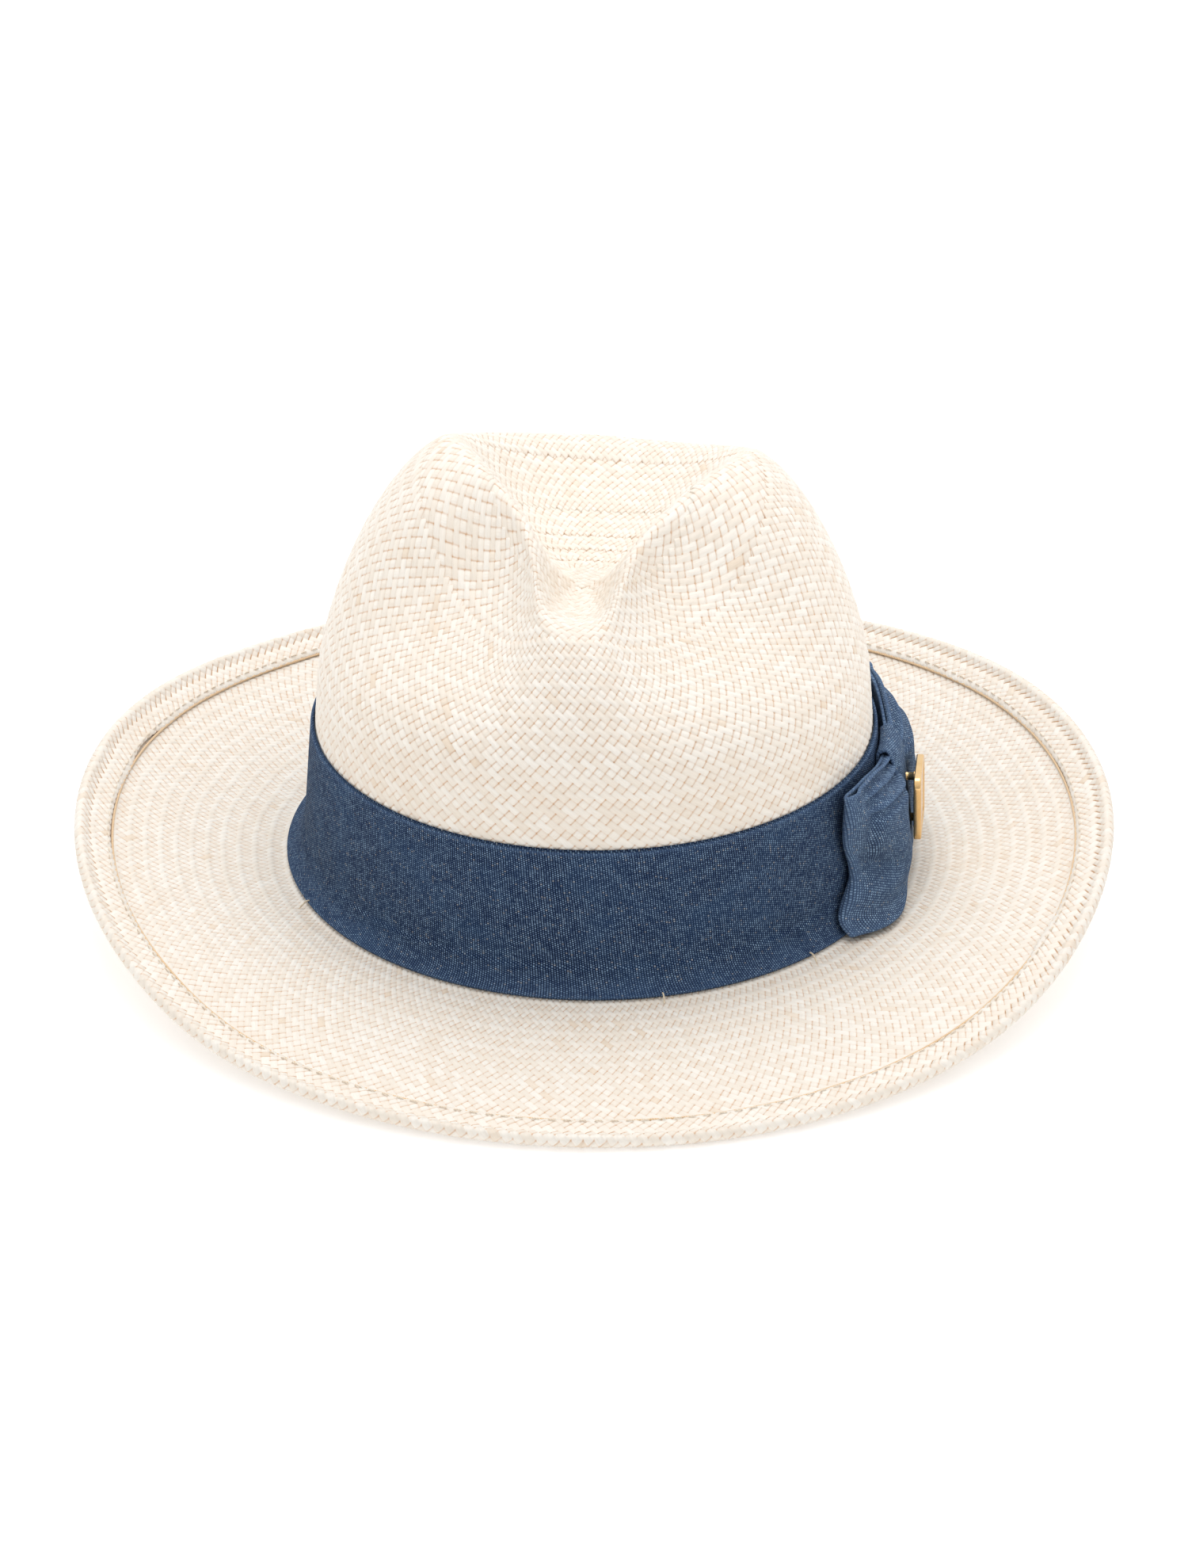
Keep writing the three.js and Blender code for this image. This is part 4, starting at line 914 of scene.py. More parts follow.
def denim_material(name, pale=0.0, turn=0.0):
    """Cloth UV in mm: x across the ribs, y along them. turn is in degrees."""
    m = Mat(name)
    uv = m.mapping(m.uv("cloth"), rot=(0, 0, math.radians(turn)))
    x, y, _ = m.split(uv)
    wobble = m.grain(uv, stretch=(0.05, 0.12))
    x = m.add(m.add(x, m.times(wobble, 0.7)), m.times(y, RIB_SLANT))
    ribs = m.math("DIVIDE", x, RIB_PITCH)
    rib_no, rib_part = m.math("FLOOR", ribs), m.math("FRACT", ribs)
    # weft crossings step along the twill from one rib to the next
    wefts = m.add(m.math("DIVIDE", y, WEFT_PITCH), m.times(rib_no, WEFT_STEP))
    weft_no, weft_part = m.math("FLOOR", wefts), m.math("FRACT", wefts)
    cell = m.node("ShaderNodeCombineXYZ", {0: rib_no, 1: weft_no}).outputs[0]
    each = m.node("ShaderNodeTexWhiteNoise", noise_dimensions="2D")
    put(m.tree, each.inputs["Vector"], cell)
    each = each.outputs["Value"]
    from_rib = m.math("ABSOLUTE", m.math("SUBTRACT", rib_part, 0.5))
    from_weft = m.math("ABSOLUTE", m.math("SUBTRACT", weft_part, 0.5))
    rib = m.ramp(from_rib, over=(0.50, 0.18))
    dot = m.times(m.ramp(from_rib, over=(0.44, 0.16)), m.ramp(from_weft, over=(0.46, 0.14)))
    rough = m.grain(uv, stretch=(1.3, 0.9), rough=0.7)
    patch = m.grain(uv, stretch=(0.22, 0.30), detail=3.0, rough=0.65, loc=(3, 9, 0))
    weft_amount = m.times(m.ramp(each, over=(0.05, 1.0), to=(0.36, 0.92)),
                          m.ramp(patch, over=(0.28, 0.72), to=(0.62, 1.12)))
    color = m.mix(rib, srgb(0, 13, 37), srgb(1, 28, 70))
    weft = m.mix(m.ramp(each, over=(0.93, 1.0)), srgb(160, 190, 218), srgb(196, 200, 200))
    weft_share = 0.70 + 1.3 * pale
    color = m.mix(m.times(m.times(dot, weft_amount), weft_share), color, weft)
    # dark slubs, pale slubs, and a broad faded bloom
    slub = m.grain(uv, stretch=(0.35, 1.1), detail=1.0)
    color = m.mix(m.ramp(slub, over=(0.60, 0.72), to=(0.0, 0.6)), color, srgb(18, 34, 64))
    slub = m.grain(uv, stretch=(0.9, 0.25), detail=1.0, loc=(7, 3, 0))
    color = m.mix(m.ramp(slub, over=(0.70, 0.78), to=(0.0, 0.22)), color, srgb(150, 168, 190))
    broad = m.grain(uv, stretch=(0.05, 0.07), detail=3.0, rough=0.55)
    color = m.mix(m.ramp(broad, over=(0.40, 0.72), to=(0.0, 0.14)), color, srgb(62, 98, 138))
    # lighter edges: wear, and on the hatband also painted highlight on its folded top and painted
    # light on its flared foot
    color = m.mix(m.times(m.attr("edge"), 0.42), color, srgb(92, 118, 154))
    if pale:
        color = m.mix(pale * 0.6, color, srgb(132, 158, 194))
    height = m.add(m.times(rib, 0.7), m.times(dot, 0.3))
    return m.out(color, m.ramp(rough, over=(0.2, 0.8), to=(0.72, 0.92)),
                 m.bump(height, strength=0.5, distance=0.00022), Specular_IOR_Level=0.06)


def metal_material(name, dark, light, rough, scratch=(900, 60, 60)):
    m = Mat(name)
    o = m.obj()
    scratches = m.grain(o, stretch=scratch, detail=3.0, rough=0.6)
    cloud = m.noise(o, scale=160.0)
    color = m.mix(m.ramp(cloud, over=(0.35, 0.7)), dark, light)
    smudge = m.noise(o, scale=90.0, detail=3.0, rough=0.6)
    roughness = m.add(m.ramp(scratches, over=(0.2, 0.8), to=(rough * 0.85, rough * 1.15)),
                      m.ramp(smudge, over=(0.45, 0.8), to=(0.0, 0.10)))
    return m.out(color, roughness, m.bump(scratches, strength=0.08, distance=0.00008),
                 Metallic=1.0)


def thread_material(name, dark, light):
    m = Mat(name)
    uv = m.uv("cloth")
    x, y, _ = m.split(uv)
    # twisted plies: turns along the thread and once round it
    ply = m.wave(m.add(m.times(x, 9.0), m.times(y, 6.28)))
    fuzz = m.grain(uv, stretch=(2.0, 3.0), detail=3.0, rough=0.6)
    color = m.mix(m.ramp(ply, over=(0.1, 0.9), to=(0.0, 0.8)), dark, light)
    color = m.mix(m.ramp(fuzz, over=(0.3, 0.8), to=(0.0, 0.3)), color, light)
    height = m.add(ply, m.times(fuzz, 0.3))
    return m.out(color, 0.78, m.bump(height, strength=0.5, distance=0.00012), Sheen_Weight=0.2)


def sweatband_material():
    m = Mat("sweatband_grain")
    pitch_x, pitch_y = 1.1, 0.8          # mm between the pressed rows
    uv = m.uv("cloth")
    x, y, _ = m.split(uv)
    rows_x = m.wave(m.times(x, 2 * math.pi / pitch_x))
    rows_y = m.wave(m.times(y, 2 * math.pi / pitch_y))
    mottle = m.grain(uv, stretch=(0.06, 0.12), detail=3.0, rough=0.6)
    pores = m.grain(uv, stretch=(2.2, 2.2), detail=3.0, rough=0.65)
    color = m.mix(m.ramp(mottle, over=(0.3, 0.75)), srgb(226, 210, 186), srgb(240, 228, 208))
    color = m.mix(m.ramp(pores, over=(0.5, 0.8), to=(0.0, 0.35)), color, srgb(206, 184, 154))
    color = m.mix(m.times(m.attr("edge"), 0.4), color, srgb(214, 192, 160))
    height = m.add(m.times(m.times(rows_x, rows_y), 0.5), pores)
    return m.out(color, m.ramp(pores, over=(0.3, 0.8), to=(0.5, 0.68)),
                 m.bump(height, strength=0.35, distance=0.0002), Specular_IOR_Level=0.4)


def reed_material():
    m = Mat("reed_plastic")
    o = m.obj()
    rough = 0.42
    grain = m.noise(o, scale=300.0, detail=3.0, rough=0.6)
    cloud = m.noise(o, scale=60.0)
    color = m.mix(m.ramp(cloud, over=(0.35, 0.7)), srgb(226, 214, 190), srgb(242, 232, 214))
    return m.out(color, m.ramp(grain, over=(0.2, 0.8), to=(rough * 0.85, rough * 1.2)),
                 m.bump(grain, strength=0.15, distance=0.0001))


STRAW = straw_material()
DENIM = denim_material("denim_twill")
DENIM_BOW = denim_material("denim_bow", pale=0.19)
DENIM_WRAP = denim_material("denim_wrap", pale=0.23, turn=62.0)
GOLD = metal_material("gold_plate", srgb(230, 190, 132), srgb(236, 200, 145), rough=0.20,
                      scratch=(1400, 90, 90))
WIRE = metal_material("drawn_wire", srgb(150, 150, 152), srgb(176, 176, 178), rough=0.35)
TAN = thread_material("tan_stitching", srgb(192, 148, 102), srgb(226, 196, 156))
PALE = thread_material("pale_stitching", srgb(206, 186, 156), srgb(238, 224, 200))
HEM_THREAD = thread_material("hem_stitching", srgb(234, 216, 192), srgb(245, 235, 219))
STRAW_EDGE = thread_material("straw_edge", srgb(222, 182, 134), srgb(240, 216, 182))
SWEAT = sweatband_material()
REED = reed_material()


def finish(ob, material, node):
    """Gives a piece its material, hangs it under the root body and hides the CAD part it replaces.
    """
    ob.data.materials.clear()
    ob.data.materials.append(material)
    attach(ob, "root")
    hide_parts(node)


def build_straw():
    crown_pieces, brim_pieces = crown_parts(), brim_parts()
    share_normals([crown_pieces["straw_crown_left"], crown_pieces["straw_crown_right"]])
    share_normals(list(brim_pieces.values()))
    for name, data in {**crown_pieces, **brim_pieces}.items():
        finish(straw_object(name, data), STRAW, "straw_body")


build_straw()


# ---- hatband and sweatband --------------------------------------------------------
class Strip:
    """Collects the lines that run round a strip, their places across it and their wear, which on
    the hatband also holds painted highlight and painted light.
    """

    def __init__(self):
        self.lines, self.across, self.wear_and_highlight = [], [], []

    def add(self, line, across, wear_and_highlight=0.0):
        self.lines.append(line)
        self.across.append(across)
        self.wear_and_highlight.append(wear_and_highlight)

    def build(self, name, around, closing):
        """closing: mm from the last line to the first."""
        return torus(name, np.stack(self.lines, 1), around,
                     np.append(self.across, self.across[-1] + closing),
                     np.tile(self.wear_and_highlight, (len(self.lines[0]), 1)))


def band_point(angle, s, out):
    """Points at arc length s up from the hatband's lower edge, out from the wall."""
    arc = math.radians(BAND_TURN) * BAND_BREAK_R
    if s < arc:
        return over_break(angle, (arc - s) / BAND_BREAK_R, out)
    return wall_ring(angle, BREAK_R + (s - arc)) + outward(angle) * np.asarray(out)[..., None]


def hatband():
    """Folded strip that follows the wall and flares over the break."""
    count = 900
    angle = np.arange(count) * 360.0 / count + KNOT_ANGLE
    height = BAND_TOP - BREAK_R
    outer = height + math.radians(BAND_TURN) * BAND_BREAK_R
    inner = height + math.radians(BAND_TURN) * (BREAK_R - GAP)
    wave = 0.10 * loop_noise(count, 60, 21) + 0.05 * loop_noise(count, 18, 22)
    pucker = np.zeros(count)
    for tack_angle in TACK_ANGLES:
        away = np.abs(np.mod(angle - tack_angle + 180, 360) - 180) * 1.6
        pucker += hump(away, 0, 3.0)
    strip = Strip()
    for s in np.linspace(0.35, outer - 0.25, 56):
        out = BAND_OUT - 0.14 + 0.14 * smooth(0, 3.0, s)
        # shallow grooves near the lower and the upper edge
        out = out - 0.10 * hump(s, 3.2, 0.7) - 0.10 * hump(outer - s, 1.3, 0.5)
        out = out + wave * smooth(2, 14, s) * (1 - smooth(outer - 8, outer - 2, s)) * 0.6
        out = np.minimum(out, BAND_OUT + 0.15) - 0.25 * pucker * hump(s, 4, 2.4)
        # lighter near both edges as wear and painted highlight, and over the lowest 9.5 mm as
        # painted light on the flare that faces up
        strip.add(band_point(angle, s, out), s, 0.5 * hump(outer - s, 0, 0.45)
                  + 0.5 * hump(s, 0, 0.8) + 0.22 * smooth(9.5, 3.0, s))
    # rounded top fold, lighter as wear and painted highlight
    for turn in np.linspace(20, 160, 6):
        rad = math.radians(turn)
        line = band_point(angle, outer - 0.2, GAP + BAND_T / 2 + 0.48 * math.cos(rad))
        line[:, 2] = BAND_TOP - 0.2 + 0.5 * math.sin(rad) + 0.10 * loop_noise(count, 40, 23)
        strip.add(line, outer + 0.5 * turn / 90, 0.55)
    for s in np.linspace(inner - 0.4, 0.5, 20):
        strip.add(band_point(angle, s, GAP + 0.02), outer + 1 + (inner - s))
    return strip.build("hatband_fabric", arc_lengths(band_point(angle, 25.0, BAND_OUT)), 1.0)


def sweatband():
    """Strip inside the wall, with rounded upper and lower edges."""
    count = 600
    angle = np.arange(count) * 360.0 / count + 180.0
    out = outward(angle)
    middle, half_t = (SWEAT_OUTER + SWEAT_INNER) / 2, SWEAT_T / 2
    ripple = np.abs(0.18 * loop_noise(count, 40, 31))
    strip = Strip()
    for z in np.linspace(SWEAT_TOP, SWEAT_FOOT, 30):
        inset = ripple * smooth(10, 34, z) - 0.10 * hump(z, 5.2, 0.8)
        strip.add(wall_ring(angle, z) + out * (SWEAT_INNER + 0.02 - inset)[:, None],
                  38 - z, hump(z, SWEAT_TOP, 1.2))

    def rounded_edge(z, sign, across):
        for turn in (35, 90, 145):
            rad = math.radians(turn)
            strip.add(wall_ring(angle, z + sign * 0.4 * math.sin(rad))
                      + out * (middle + sign * half_t * math.cos(rad)), across + turn / 90, 1.0)
    rounded_edge(SWEAT_FOOT, -1, 36.2)
    for z in np.linspace(SWEAT_FOOT, SWEAT_TOP, 12):
        strip.add(wall_ring(angle, z) + out * (SWEAT_OUTER - 0.02), 39 + z)
    rounded_edge(SWEAT_TOP, 1, 77.5)
    return strip.build("sweatband_strip", arc_lengths(wall_ring(angle, 20.0, SWEAT_INNER)), 0.6)


finish(hatband(), DENIM, "hatband")
finish(sweatband(), SWEAT, "sweatband")


# ---- cords and stitching ----------------------------------------------------------
def cord(name, centre, side, up, radius, sides):
    """A round cord along a closed line, with two axes per point."""
    radius = np.broadcast_to(np.asarray(radius, float), (len(centre),))
    return torus(name, rings_about(centre, side, up, radius, sides), arc_lengths(centre),
                 np.arange(sides + 1) / sides)


def stitches(name, path, side, up, pitch, fill, radius, seed, sink=0.6):
    """Separate stitches along a closed path, each a small capsule that dips in at both ends.
    fill: share of the pitch a stitch covers; sink: dip in radii."""
    lengths = arc_lengths(path)
    total = lengths[-1]
    n = int(total / pitch)
    r = np.random.default_rng(seed)
    m, k = 9, 8                          # rings to a stitch, points to a ring
    t = np.linspace(0, 1, m)
    ends = 2 * t - 1
    starts = (np.arange(n) + r.uniform(-0.05, 0.05, n)) * total / n
    spans = pitch * fill * r.uniform(0.94, 1.06, n)
    s = np.mod(starts[:, None] + spans[:, None] * t, total)

    def along(values):
        values = np.vstack([values, values[:1]])
        return np.stack([np.interp(s, lengths, values[:, i]) for i in range(3)], -1)
    centre, side, up = along(path), unit(along(side)), unit(along(up))
    skew = r.uniform(-0.08, 0.08, n)[:, None, None] * -ends[None, :, None]
    centre = centre + up * (-sink * radius * ends ** 4)[None, :, None] + side * skew
    taper = np.sqrt(np.clip(1 - ends ** 6, 0, 1)) * 0.82 + 0.18
    tube = rings_about(centre, side, up, radius * taper, k).reshape(n, -1, 3)
    first = centre[:, 0] - unit(centre[:, 1] - centre[:, 0]) * radius * 0.12
    last = centre[:, -1] + unit(centre[:, -1] - centre[:, -2]) * radius * 0.12
    per = m * k + 2
    verts = np.concatenate([tube, first[:, None], last[:, None]], 1).reshape(-1, 3)
    quads = np.array([[i * k + j, (i + 1) * k + j, (i + 1) * k + (j + 1) % k,
                       i * k + (j + 1) % k] for i in range(m - 1) for j in range(k)])
    top = (m - 1) * k
    tris = np.array([[m * k, j, (j + 1) % k] for j in range(k)]
                    + [[m * k + 1, top + (j + 1) % k, top + j] for j in range(k)])
    step = corner_step(verts[:per] - verts[:per].mean(0), quads)
    quads, tris = quads[:, ::step], tris[:, ::step]
    base = (np.arange(n) * per)[:, None, None]
    all_quads, all_tris = (quads + base).reshape(-1, 4), (tris + base).reshape(-1, 3)
    uv = np.stack([(quads // k) * (pitch * fill / (m - 1)), (quads % k) / k], -1).astype(float)
    cloth = np.concatenate([np.tile(uv, (n, 1, 1)).reshape(-1, 2),
                            np.zeros((len(all_tris) * 3, 2))])
    return mesh_object(name, verts, [all_quads, all_tris], uvs={"cloth": cloth})


HEM_STITCH_IN = 10.65                    # mm in from the brim edge
HEM_STITCH_UP = 1.82


def hem_line(inset, toward, height):
    """A line on the hem at inset mm from the edge: points, axis to a second inset, normal."""
    t = 1 - inset / brim_run
    up = brim_normal(t)
    return (brim_at(t) + up * height, unit(brim_at(1 - toward / brim_run) - brim_at(t)), up)


finish(cord("sweatband_reed_cord", wall_ring(ANGLES, 1.05)
            + OUT * ((SWEAT_OUTER + SWEAT_INNER) / 2), OUT, UP, radius=0.55, sides=12),
       REED, "sweatband_reed")
finish(stitches("sweatband_stitches", wall_ring(ANGLES, 5.2) + OUT * (-3.0), UP, -OUT,
                pitch=3.4, fill=0.72, radius=0.34, seed=51),
       TAN, "sweatband_thread")
finish(stitches("hem_stitches", *hem_line(HEM_STITCH_IN, HEM_STITCH_IN - 1, HEM_STITCH_UP),
                pitch=4.2, fill=0.56, radius=0.20, seed=52, sink=1.5),
       HEM_THREAD, "hem_thread")
# tan cord at the hem's raw edge: the cut straw's own darker tone, partly painted shade of the hem's
# step
finish(cord("straw_hem_edge", *hem_line(HEM_W, HEM_W - 0.8, 0.50),
            radius=0.38 + 0.03 * loop_noise(COLUMNS, 6, 61).clip(-1, 1), sides=8),
       STRAW_EDGE, "straw_body")

# the wire in the brim keeps its own mesh
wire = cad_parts["brim_wire"]
wire.data.materials.clear()
wire.data.materials.append(WIRE)

# ---- bow --------------------------------------------------------------------------
BOW_T, WRAP_T = 1.0, 0.9
# far end of each loop, in pairs of z and angle, then z and height off the hatband
FRONT_ANGLE = curve([(-1, 51.9), (1, 51.6), (5, 51.9), (9, 53.7), (14, 57.0), (19, 57.1),
                     (26, 55.4), (33, 54.6), (41, 54.8)])
REAR_ANGLE = curve([(-1, 110.5), (4, 111.2), (12, 113), (20, 111.5), (30, 110), (43, 112)])
FRONT_HEIGHT = curve([(0, 8.2), (5, 3.6), (9, 2.4), (15, 2.6), (23, 2.6), (32, 3.4), (41, 4.6)])
REAR_HEIGHT = curve([(0, 7), (6, 3.2), (14, 2.8), (28, 3), (43, 4)])
# closed middle line of the wrap round the knot: height off the hatband, z
WRAP = np.array([
    [0.85, 36.6], [0.85, 24], [0.9, 12], [1.2, 8.2], [2.0, 5.2], [3.4, 3.2], [5.6, 2.9],
    [7.4, 3.9], [8.3, 6.4], [8.2, 11], [7.8, 17], [7.5, 23], [7.2, 29], [6.7, 34.6],
    [5.6, 37.9], [3.6, 39.2], [1.8, 38.6]], float)


def beside(angle, mm):
    """The angle that lies mm further round the wall."""
    return angle + mm / MM_PER_DEGREE


def flare(z):
    """How far the hatband's face stands out over the break."""
    drop = BREAK_R - np.maximum(z, 1.6)
    return np.where(z >= BREAK_R, 0,
                    BAND_BREAK_R - np.sqrt(np.maximum(0, BAND_BREAK_R**2 - drop ** 2)))


def sheet_solid(name, grid, thick, cloth_uv, edge):
    """A cloth strip given by its middle surface grid[u, v], closed and with rounded rims."""
    nu, nv = grid.shape[:2]
    N = unit(np.cross(np.gradient(grid, axis=0), np.gradient(grid, axis=1)))
    fullness = np.ones((nu, nv))
    fullness[[0, -1]] = 0.55
    fullness[:, [0, -1]] = 0.55
    half = N * (thick / 2 * fullness)[..., None]
    verts = np.concatenate([(grid + half).reshape(-1, 3), (grid - half).reshape(-1, 3)])
    quads = slab_faces(nu, nv)[2]
    gu, gv = np.meshgrid(np.linspace(0, 1, nu), np.linspace(0, 1, nv), indexing="ij")
    bake = np.stack([gu.ravel(), gv.ravel()], -1) * [0.99, 0.48]
    bake = np.concatenate([bake + [0.005, 0.005], bake + [0.005, 0.51]])[quads]
    cloth = np.tile(cloth_uv.reshape(-1, 2), (2, 1))[quads]
    step = corner_step(verts, quads)
    return mesh_object(name, verts, [quads[:, ::step]],
                       attrs={"edge": ("FLOAT", "POINT", np.tile(edge.ravel(), 2))},
                       uvs={"cloth": cloth[:, ::step], "OFBake": bake[:, ::step]})


def bow_loop(name, direction):
    """One loop of the bow, forward (-1) or backward (1) of the knot. U runs from the knot along
    the inner layer, round the fold and back along the outer layer; V runs up. s is 0 at the
    knot and 1 at the fold in both layers."""
    front = direction < 0
    U, V = np.meshgrid(np.linspace(0, 1, 190), np.linspace(0, 1, 110), indexing="ij")
    inner_end, outer_start = 0.46, 0.54
    tip_z = 1.6 + 39.4 * V if front else 1.9 + 41 * V
    # the folded end is a soft roll; the front one is fat high up and low down, pinched between
    roll = 1.25
    if front:
        width = roll + (0.75 * hump(V, 0.80, 0.13) + 1.15 * hump(V, 0.21, 0.10))
    else:
        width = roll + 0.35 * np.sin(np.pi * V)
    width = width * (1 - 0.25 * smooth(0.9, 1, V))
    tip_angle = ((FRONT_ANGLE if front else REAR_ANGLE)(tip_z)
                 - direction * (width - roll) / MM_PER_DEGREE)
    tip_height = (FRONT_HEIGHT if front else REAR_HEIGHT)(tip_z) + (width - roll)
    tip_inner = np.maximum(tip_height - width, 1.0)
    end_angle = beside(KNOT_ANGLE, direction * 1.0)
    knot_z = 5.6 + 31.8 * V

    def knot_height(z):
        return 2.1 + 0.3 * np.maximum(0, 10 - z)

    # inner layer
    s = np.clip(U / inner_end, 0, 1)
    z_in = knot_z + (tip_z - knot_z) * smooth(0.19, 0.8, s)
    h_in = knot_height(z_in)
    h_in = h_in + (tip_inner - h_in) * smooth(0.25, 1, s)
    h_in = np.maximum(h_in, flare(z_in - 0.5) + 1.2)
    angle_in = end_angle + (tip_angle - end_angle) * s * 0.97
    # fold
    turn = np.pi * np.clip((U - inner_end) / 0.08, 0, 1)
    fold_base = np.maximum(tip_inner, flare(tip_z - 0.5) + 1.2)
    angle_fold = (tip_angle + direction * (width * np.sin(turn)) / MM_PER_DEGREE
                  - (tip_angle - end_angle) * 0.03 * np.cos(turn) ** 2)
    h_fold = fold_base + width * (1 - np.cos(turn))
    # outer layer
    s = np.clip((1 - U) / inner_end, 0, 1)
    z_out = knot_z + (tip_z - knot_z) * smooth(0.19, 0.7, s)
    low = 1 - smooth(0, 16, z_out)
    belly = np.sin(np.pi * np.clip((s - 0.15) / 0.85, 0, 1)) ** 0.75
    h = 6.5 + (fold_base + 2 * width - 6.5) * smooth(0.30, 1, s)
    h = h + belly * (5.0 + 2.4 * low * smooth(0.35, 0.8, s) - 1.0 * low
                     - 1.6 * smooth(26, 42, z_out))
    # creases and swells: depth * bell about a line * where along the loop it shows
    spread = smooth(0.3, 0.6, s)
    if front:
        h = h - 2.1 * hump(V, 0.42 - 0.34 * (1 - s), 0.065) * smooth(0.40, 0.75, s)
        h = h - (2.0 * hump(s, 0.865 - 0.05 * np.sin(9 * V), 0.055)
                 * smooth(0.36, 0.50, V) * (1 - smooth(0.84, 0.95, V)))
        h = h + 0.7 * hump(V, 0.60 - 0.16 * (1 - s), 0.10) * spread
        h = h - (0.5 * hump(V, 0.72 + 0.10 * (1 - s), 0.045) * spread
                 * (1 - smooth(0.85, 1, s)))
    else:
        h = h - 0.8 * hump(V, 0.55 + 0.2 * (1 - s), 0.09) * spread
    ripple = (0.45 * np.sin(2 * np.pi * (1.15 * s - 1.5 * V + 0.15))
              + 0.22 * np.sin(2 * np.pi * (2.3 * s + 2.2 * V)))
    h = h + ripple * belly * (1 - smooth(0.8, 1, s))
    # the upper margin is laid in pleats that close the loop against its inner layer
    pleat_start, pleats, pleat_depth = (0.70, 3.0, 0.85) if front else (0.76, 2.0, 0.6)
    h_close = knot_height(z_out) + (tip_inner - 2.1) * smooth(0.25, 1, s)
    close = smooth(pleat_start, 1.0, V) * (1 - smooth(0.86, 1.0, s))
    h = h * (1 - close) + (h_close + 1.25) * close
    phase = np.clip((V - pleat_start) / (1 - pleat_start), 0, 1)
    pleat = np.cos(2 * np.pi * (pleats * phase + 0.15 * np.sin(2 * np.pi * pleats * phase)))
    fade = 1 - smooth(0.72, 0.95, s)
    h = h + ((pleat_depth + 0.45 * (1 - smooth(0.15, 0.5, s))) * pleat
             * smooth(0, 0.12, phase) * fade)
    h = np.maximum(h, smooth(0.19, 0.32, s) * (flare(z_out - 0.5) + 3.4))
    angle_out = end_angle + (tip_angle - end_angle) * s * 0.97

    def joined(inner, fold, outer):
        return np.where(U < inner_end, inner, np.where(U < outer_start, fold, outer))
    grid = off_band(joined(angle_in, angle_fold, angle_out), joined(z_in, tip_z, z_out),
                    joined(h_in, h_fold, h))
    relax(grid, 6)
    along_u = np.linalg.norm(np.diff(grid, axis=0), axis=2).mean(1)
    along_v = np.linalg.norm(np.diff(grid, axis=1), axis=2).mean(0)
    uv = np.stack(np.meshgrid(np.append(0, np.cumsum(along_u)), np.append(0, np.cumsum(along_v)),
                              indexing="ij"), -1)
    # wear on the long edges, the fold and the pleats
    crest = np.clip(pleat, 0, 1) ** 3 * smooth(0, 0.1, phase) * fade * (U > outer_start) * 0.9
    edge = hump(V, 1, 0.015) + 0.55 * hump(U, 0.51, 0.035) + 0.6 * hump(V, 0, 0.02) + crest
    return sheet_solid(name, grid, BOW_T, uv, np.clip(edge, 0, 1))


def closed_curve(points, count):
    """Even points along a smooth closed line through points, and its length."""
    m = len(points)
    out = []
    for i in range(m):
        p0, p1, p2, p3 = (points[(i + k) % m] for k in (-1, 0, 1, 2))
        for t in np.linspace(0, 1, 12, endpoint=False):
            out.append(0.5 * ((2 * p1) + (-p0 + p2) * t + (2 * p0 - 5 * p1 + 4 * p2 - p3) * t * t
                              + (-p0 + 3 * p1 - 3 * p2 + p3) * t**3))
    out = np.array(out)
    lengths = arc_lengths(out)
    loop = np.vstack([out, out[:1]])
    s = np.linspace(0, lengths[-1], count, endpoint=False)
    return np.stack([np.interp(s, lengths, loop[:, i]) for i in range(2)], 1), lengths[-1]


def bow_wrap():
    """Strip wound round the knot, with soft lengthwise ridges on its outer run."""
    path, total = closed_curve(WRAP, 140)
    tangent = unit(np.roll(path, -1, 0) - np.roll(path, 1, 0))
    normal = np.stack([-tangent[:, 1], tangent[:, 0]], 1)
    if ((path - path.mean(0)) * normal).sum() < 0:
        normal = -normal
    cols = np.linspace(-1, 1, 44)        # across the strip
    outer_run = smooth(3.0, 6.5, path[:, 0])

    def line(col, lift):
        place = path + normal * lift[:, None]
        return off_band(beside(KNOT_ANGLE, col * KNOT_HALF), place[:, 1], place[:, 0])
    lines = []
    for col in cols:
        ridge = 0.16 * np.cos(col * 9.0) * (1 - abs(col) ** 6) - 0.22 * abs(col) ** 8
        groove = 0.12 * hump(abs(col), 0.86, 0.05)
        lines.append(line(col, WRAP_T / 2 + (ridge * 0.6 - groove - 1.3 * abs(col) ** 4)
                          * outer_run))
    for col in cols[::-1]:
        lines.append(line(col, -WRAP_T / 2 - 1.3 * abs(col) ** 4 * outer_run))
    across = np.concatenate([cols * KNOT_HALF, (2 + cols) * KNOT_HALF, [3 * KNOT_HALF]])
    edge = hump(np.abs(np.concatenate([cols, cols[::-1]])), 1, 0.05)
    return torus("bow_wrap_fabric", np.stack(lines, 1), np.linspace(0, total, len(path) + 1),
                 across, np.tile(edge, (len(path), 1)))


finish(bow_loop("bow_front_fold", -1), DENIM_BOW, "bow_front_loop")
finish(bow_loop("bow_rear_fold", 1), DENIM_BOW, "bow_rear_loop")
finish(bow_wrap(), DENIM_WRAP, "bow_wrap")

# ---- badge ------------------------------------------------------------------------
# its own axes: along (towards the back), up, and out of the face
_out = outward(KNOT_ANGLE)
_tilt = math.radians(BADGE_TILT)
FACE_ALONG = np.array([-_out[1], _out[0], 0.0])
FACE_OUT = unit(_out * math.cos(_tilt) + np.array([0, 0, math.sin(_tilt) * 0.35]))
FACE_UP = unit(np.cross(FACE_OUT, FACE_ALONG))
BADGE_CENTRE = off_band(KNOT_ANGLE, BADGE_Z, BADGE_OUT)


def badge_point(along, up, out):
    along, up, out = np.broadcast_arrays(np.asarray(along, float), up, out)
    return (BADGE_CENTRE + FACE_ALONG * along[..., None] + FACE_UP * up[..., None]
            + FACE_OUT * out[..., None])


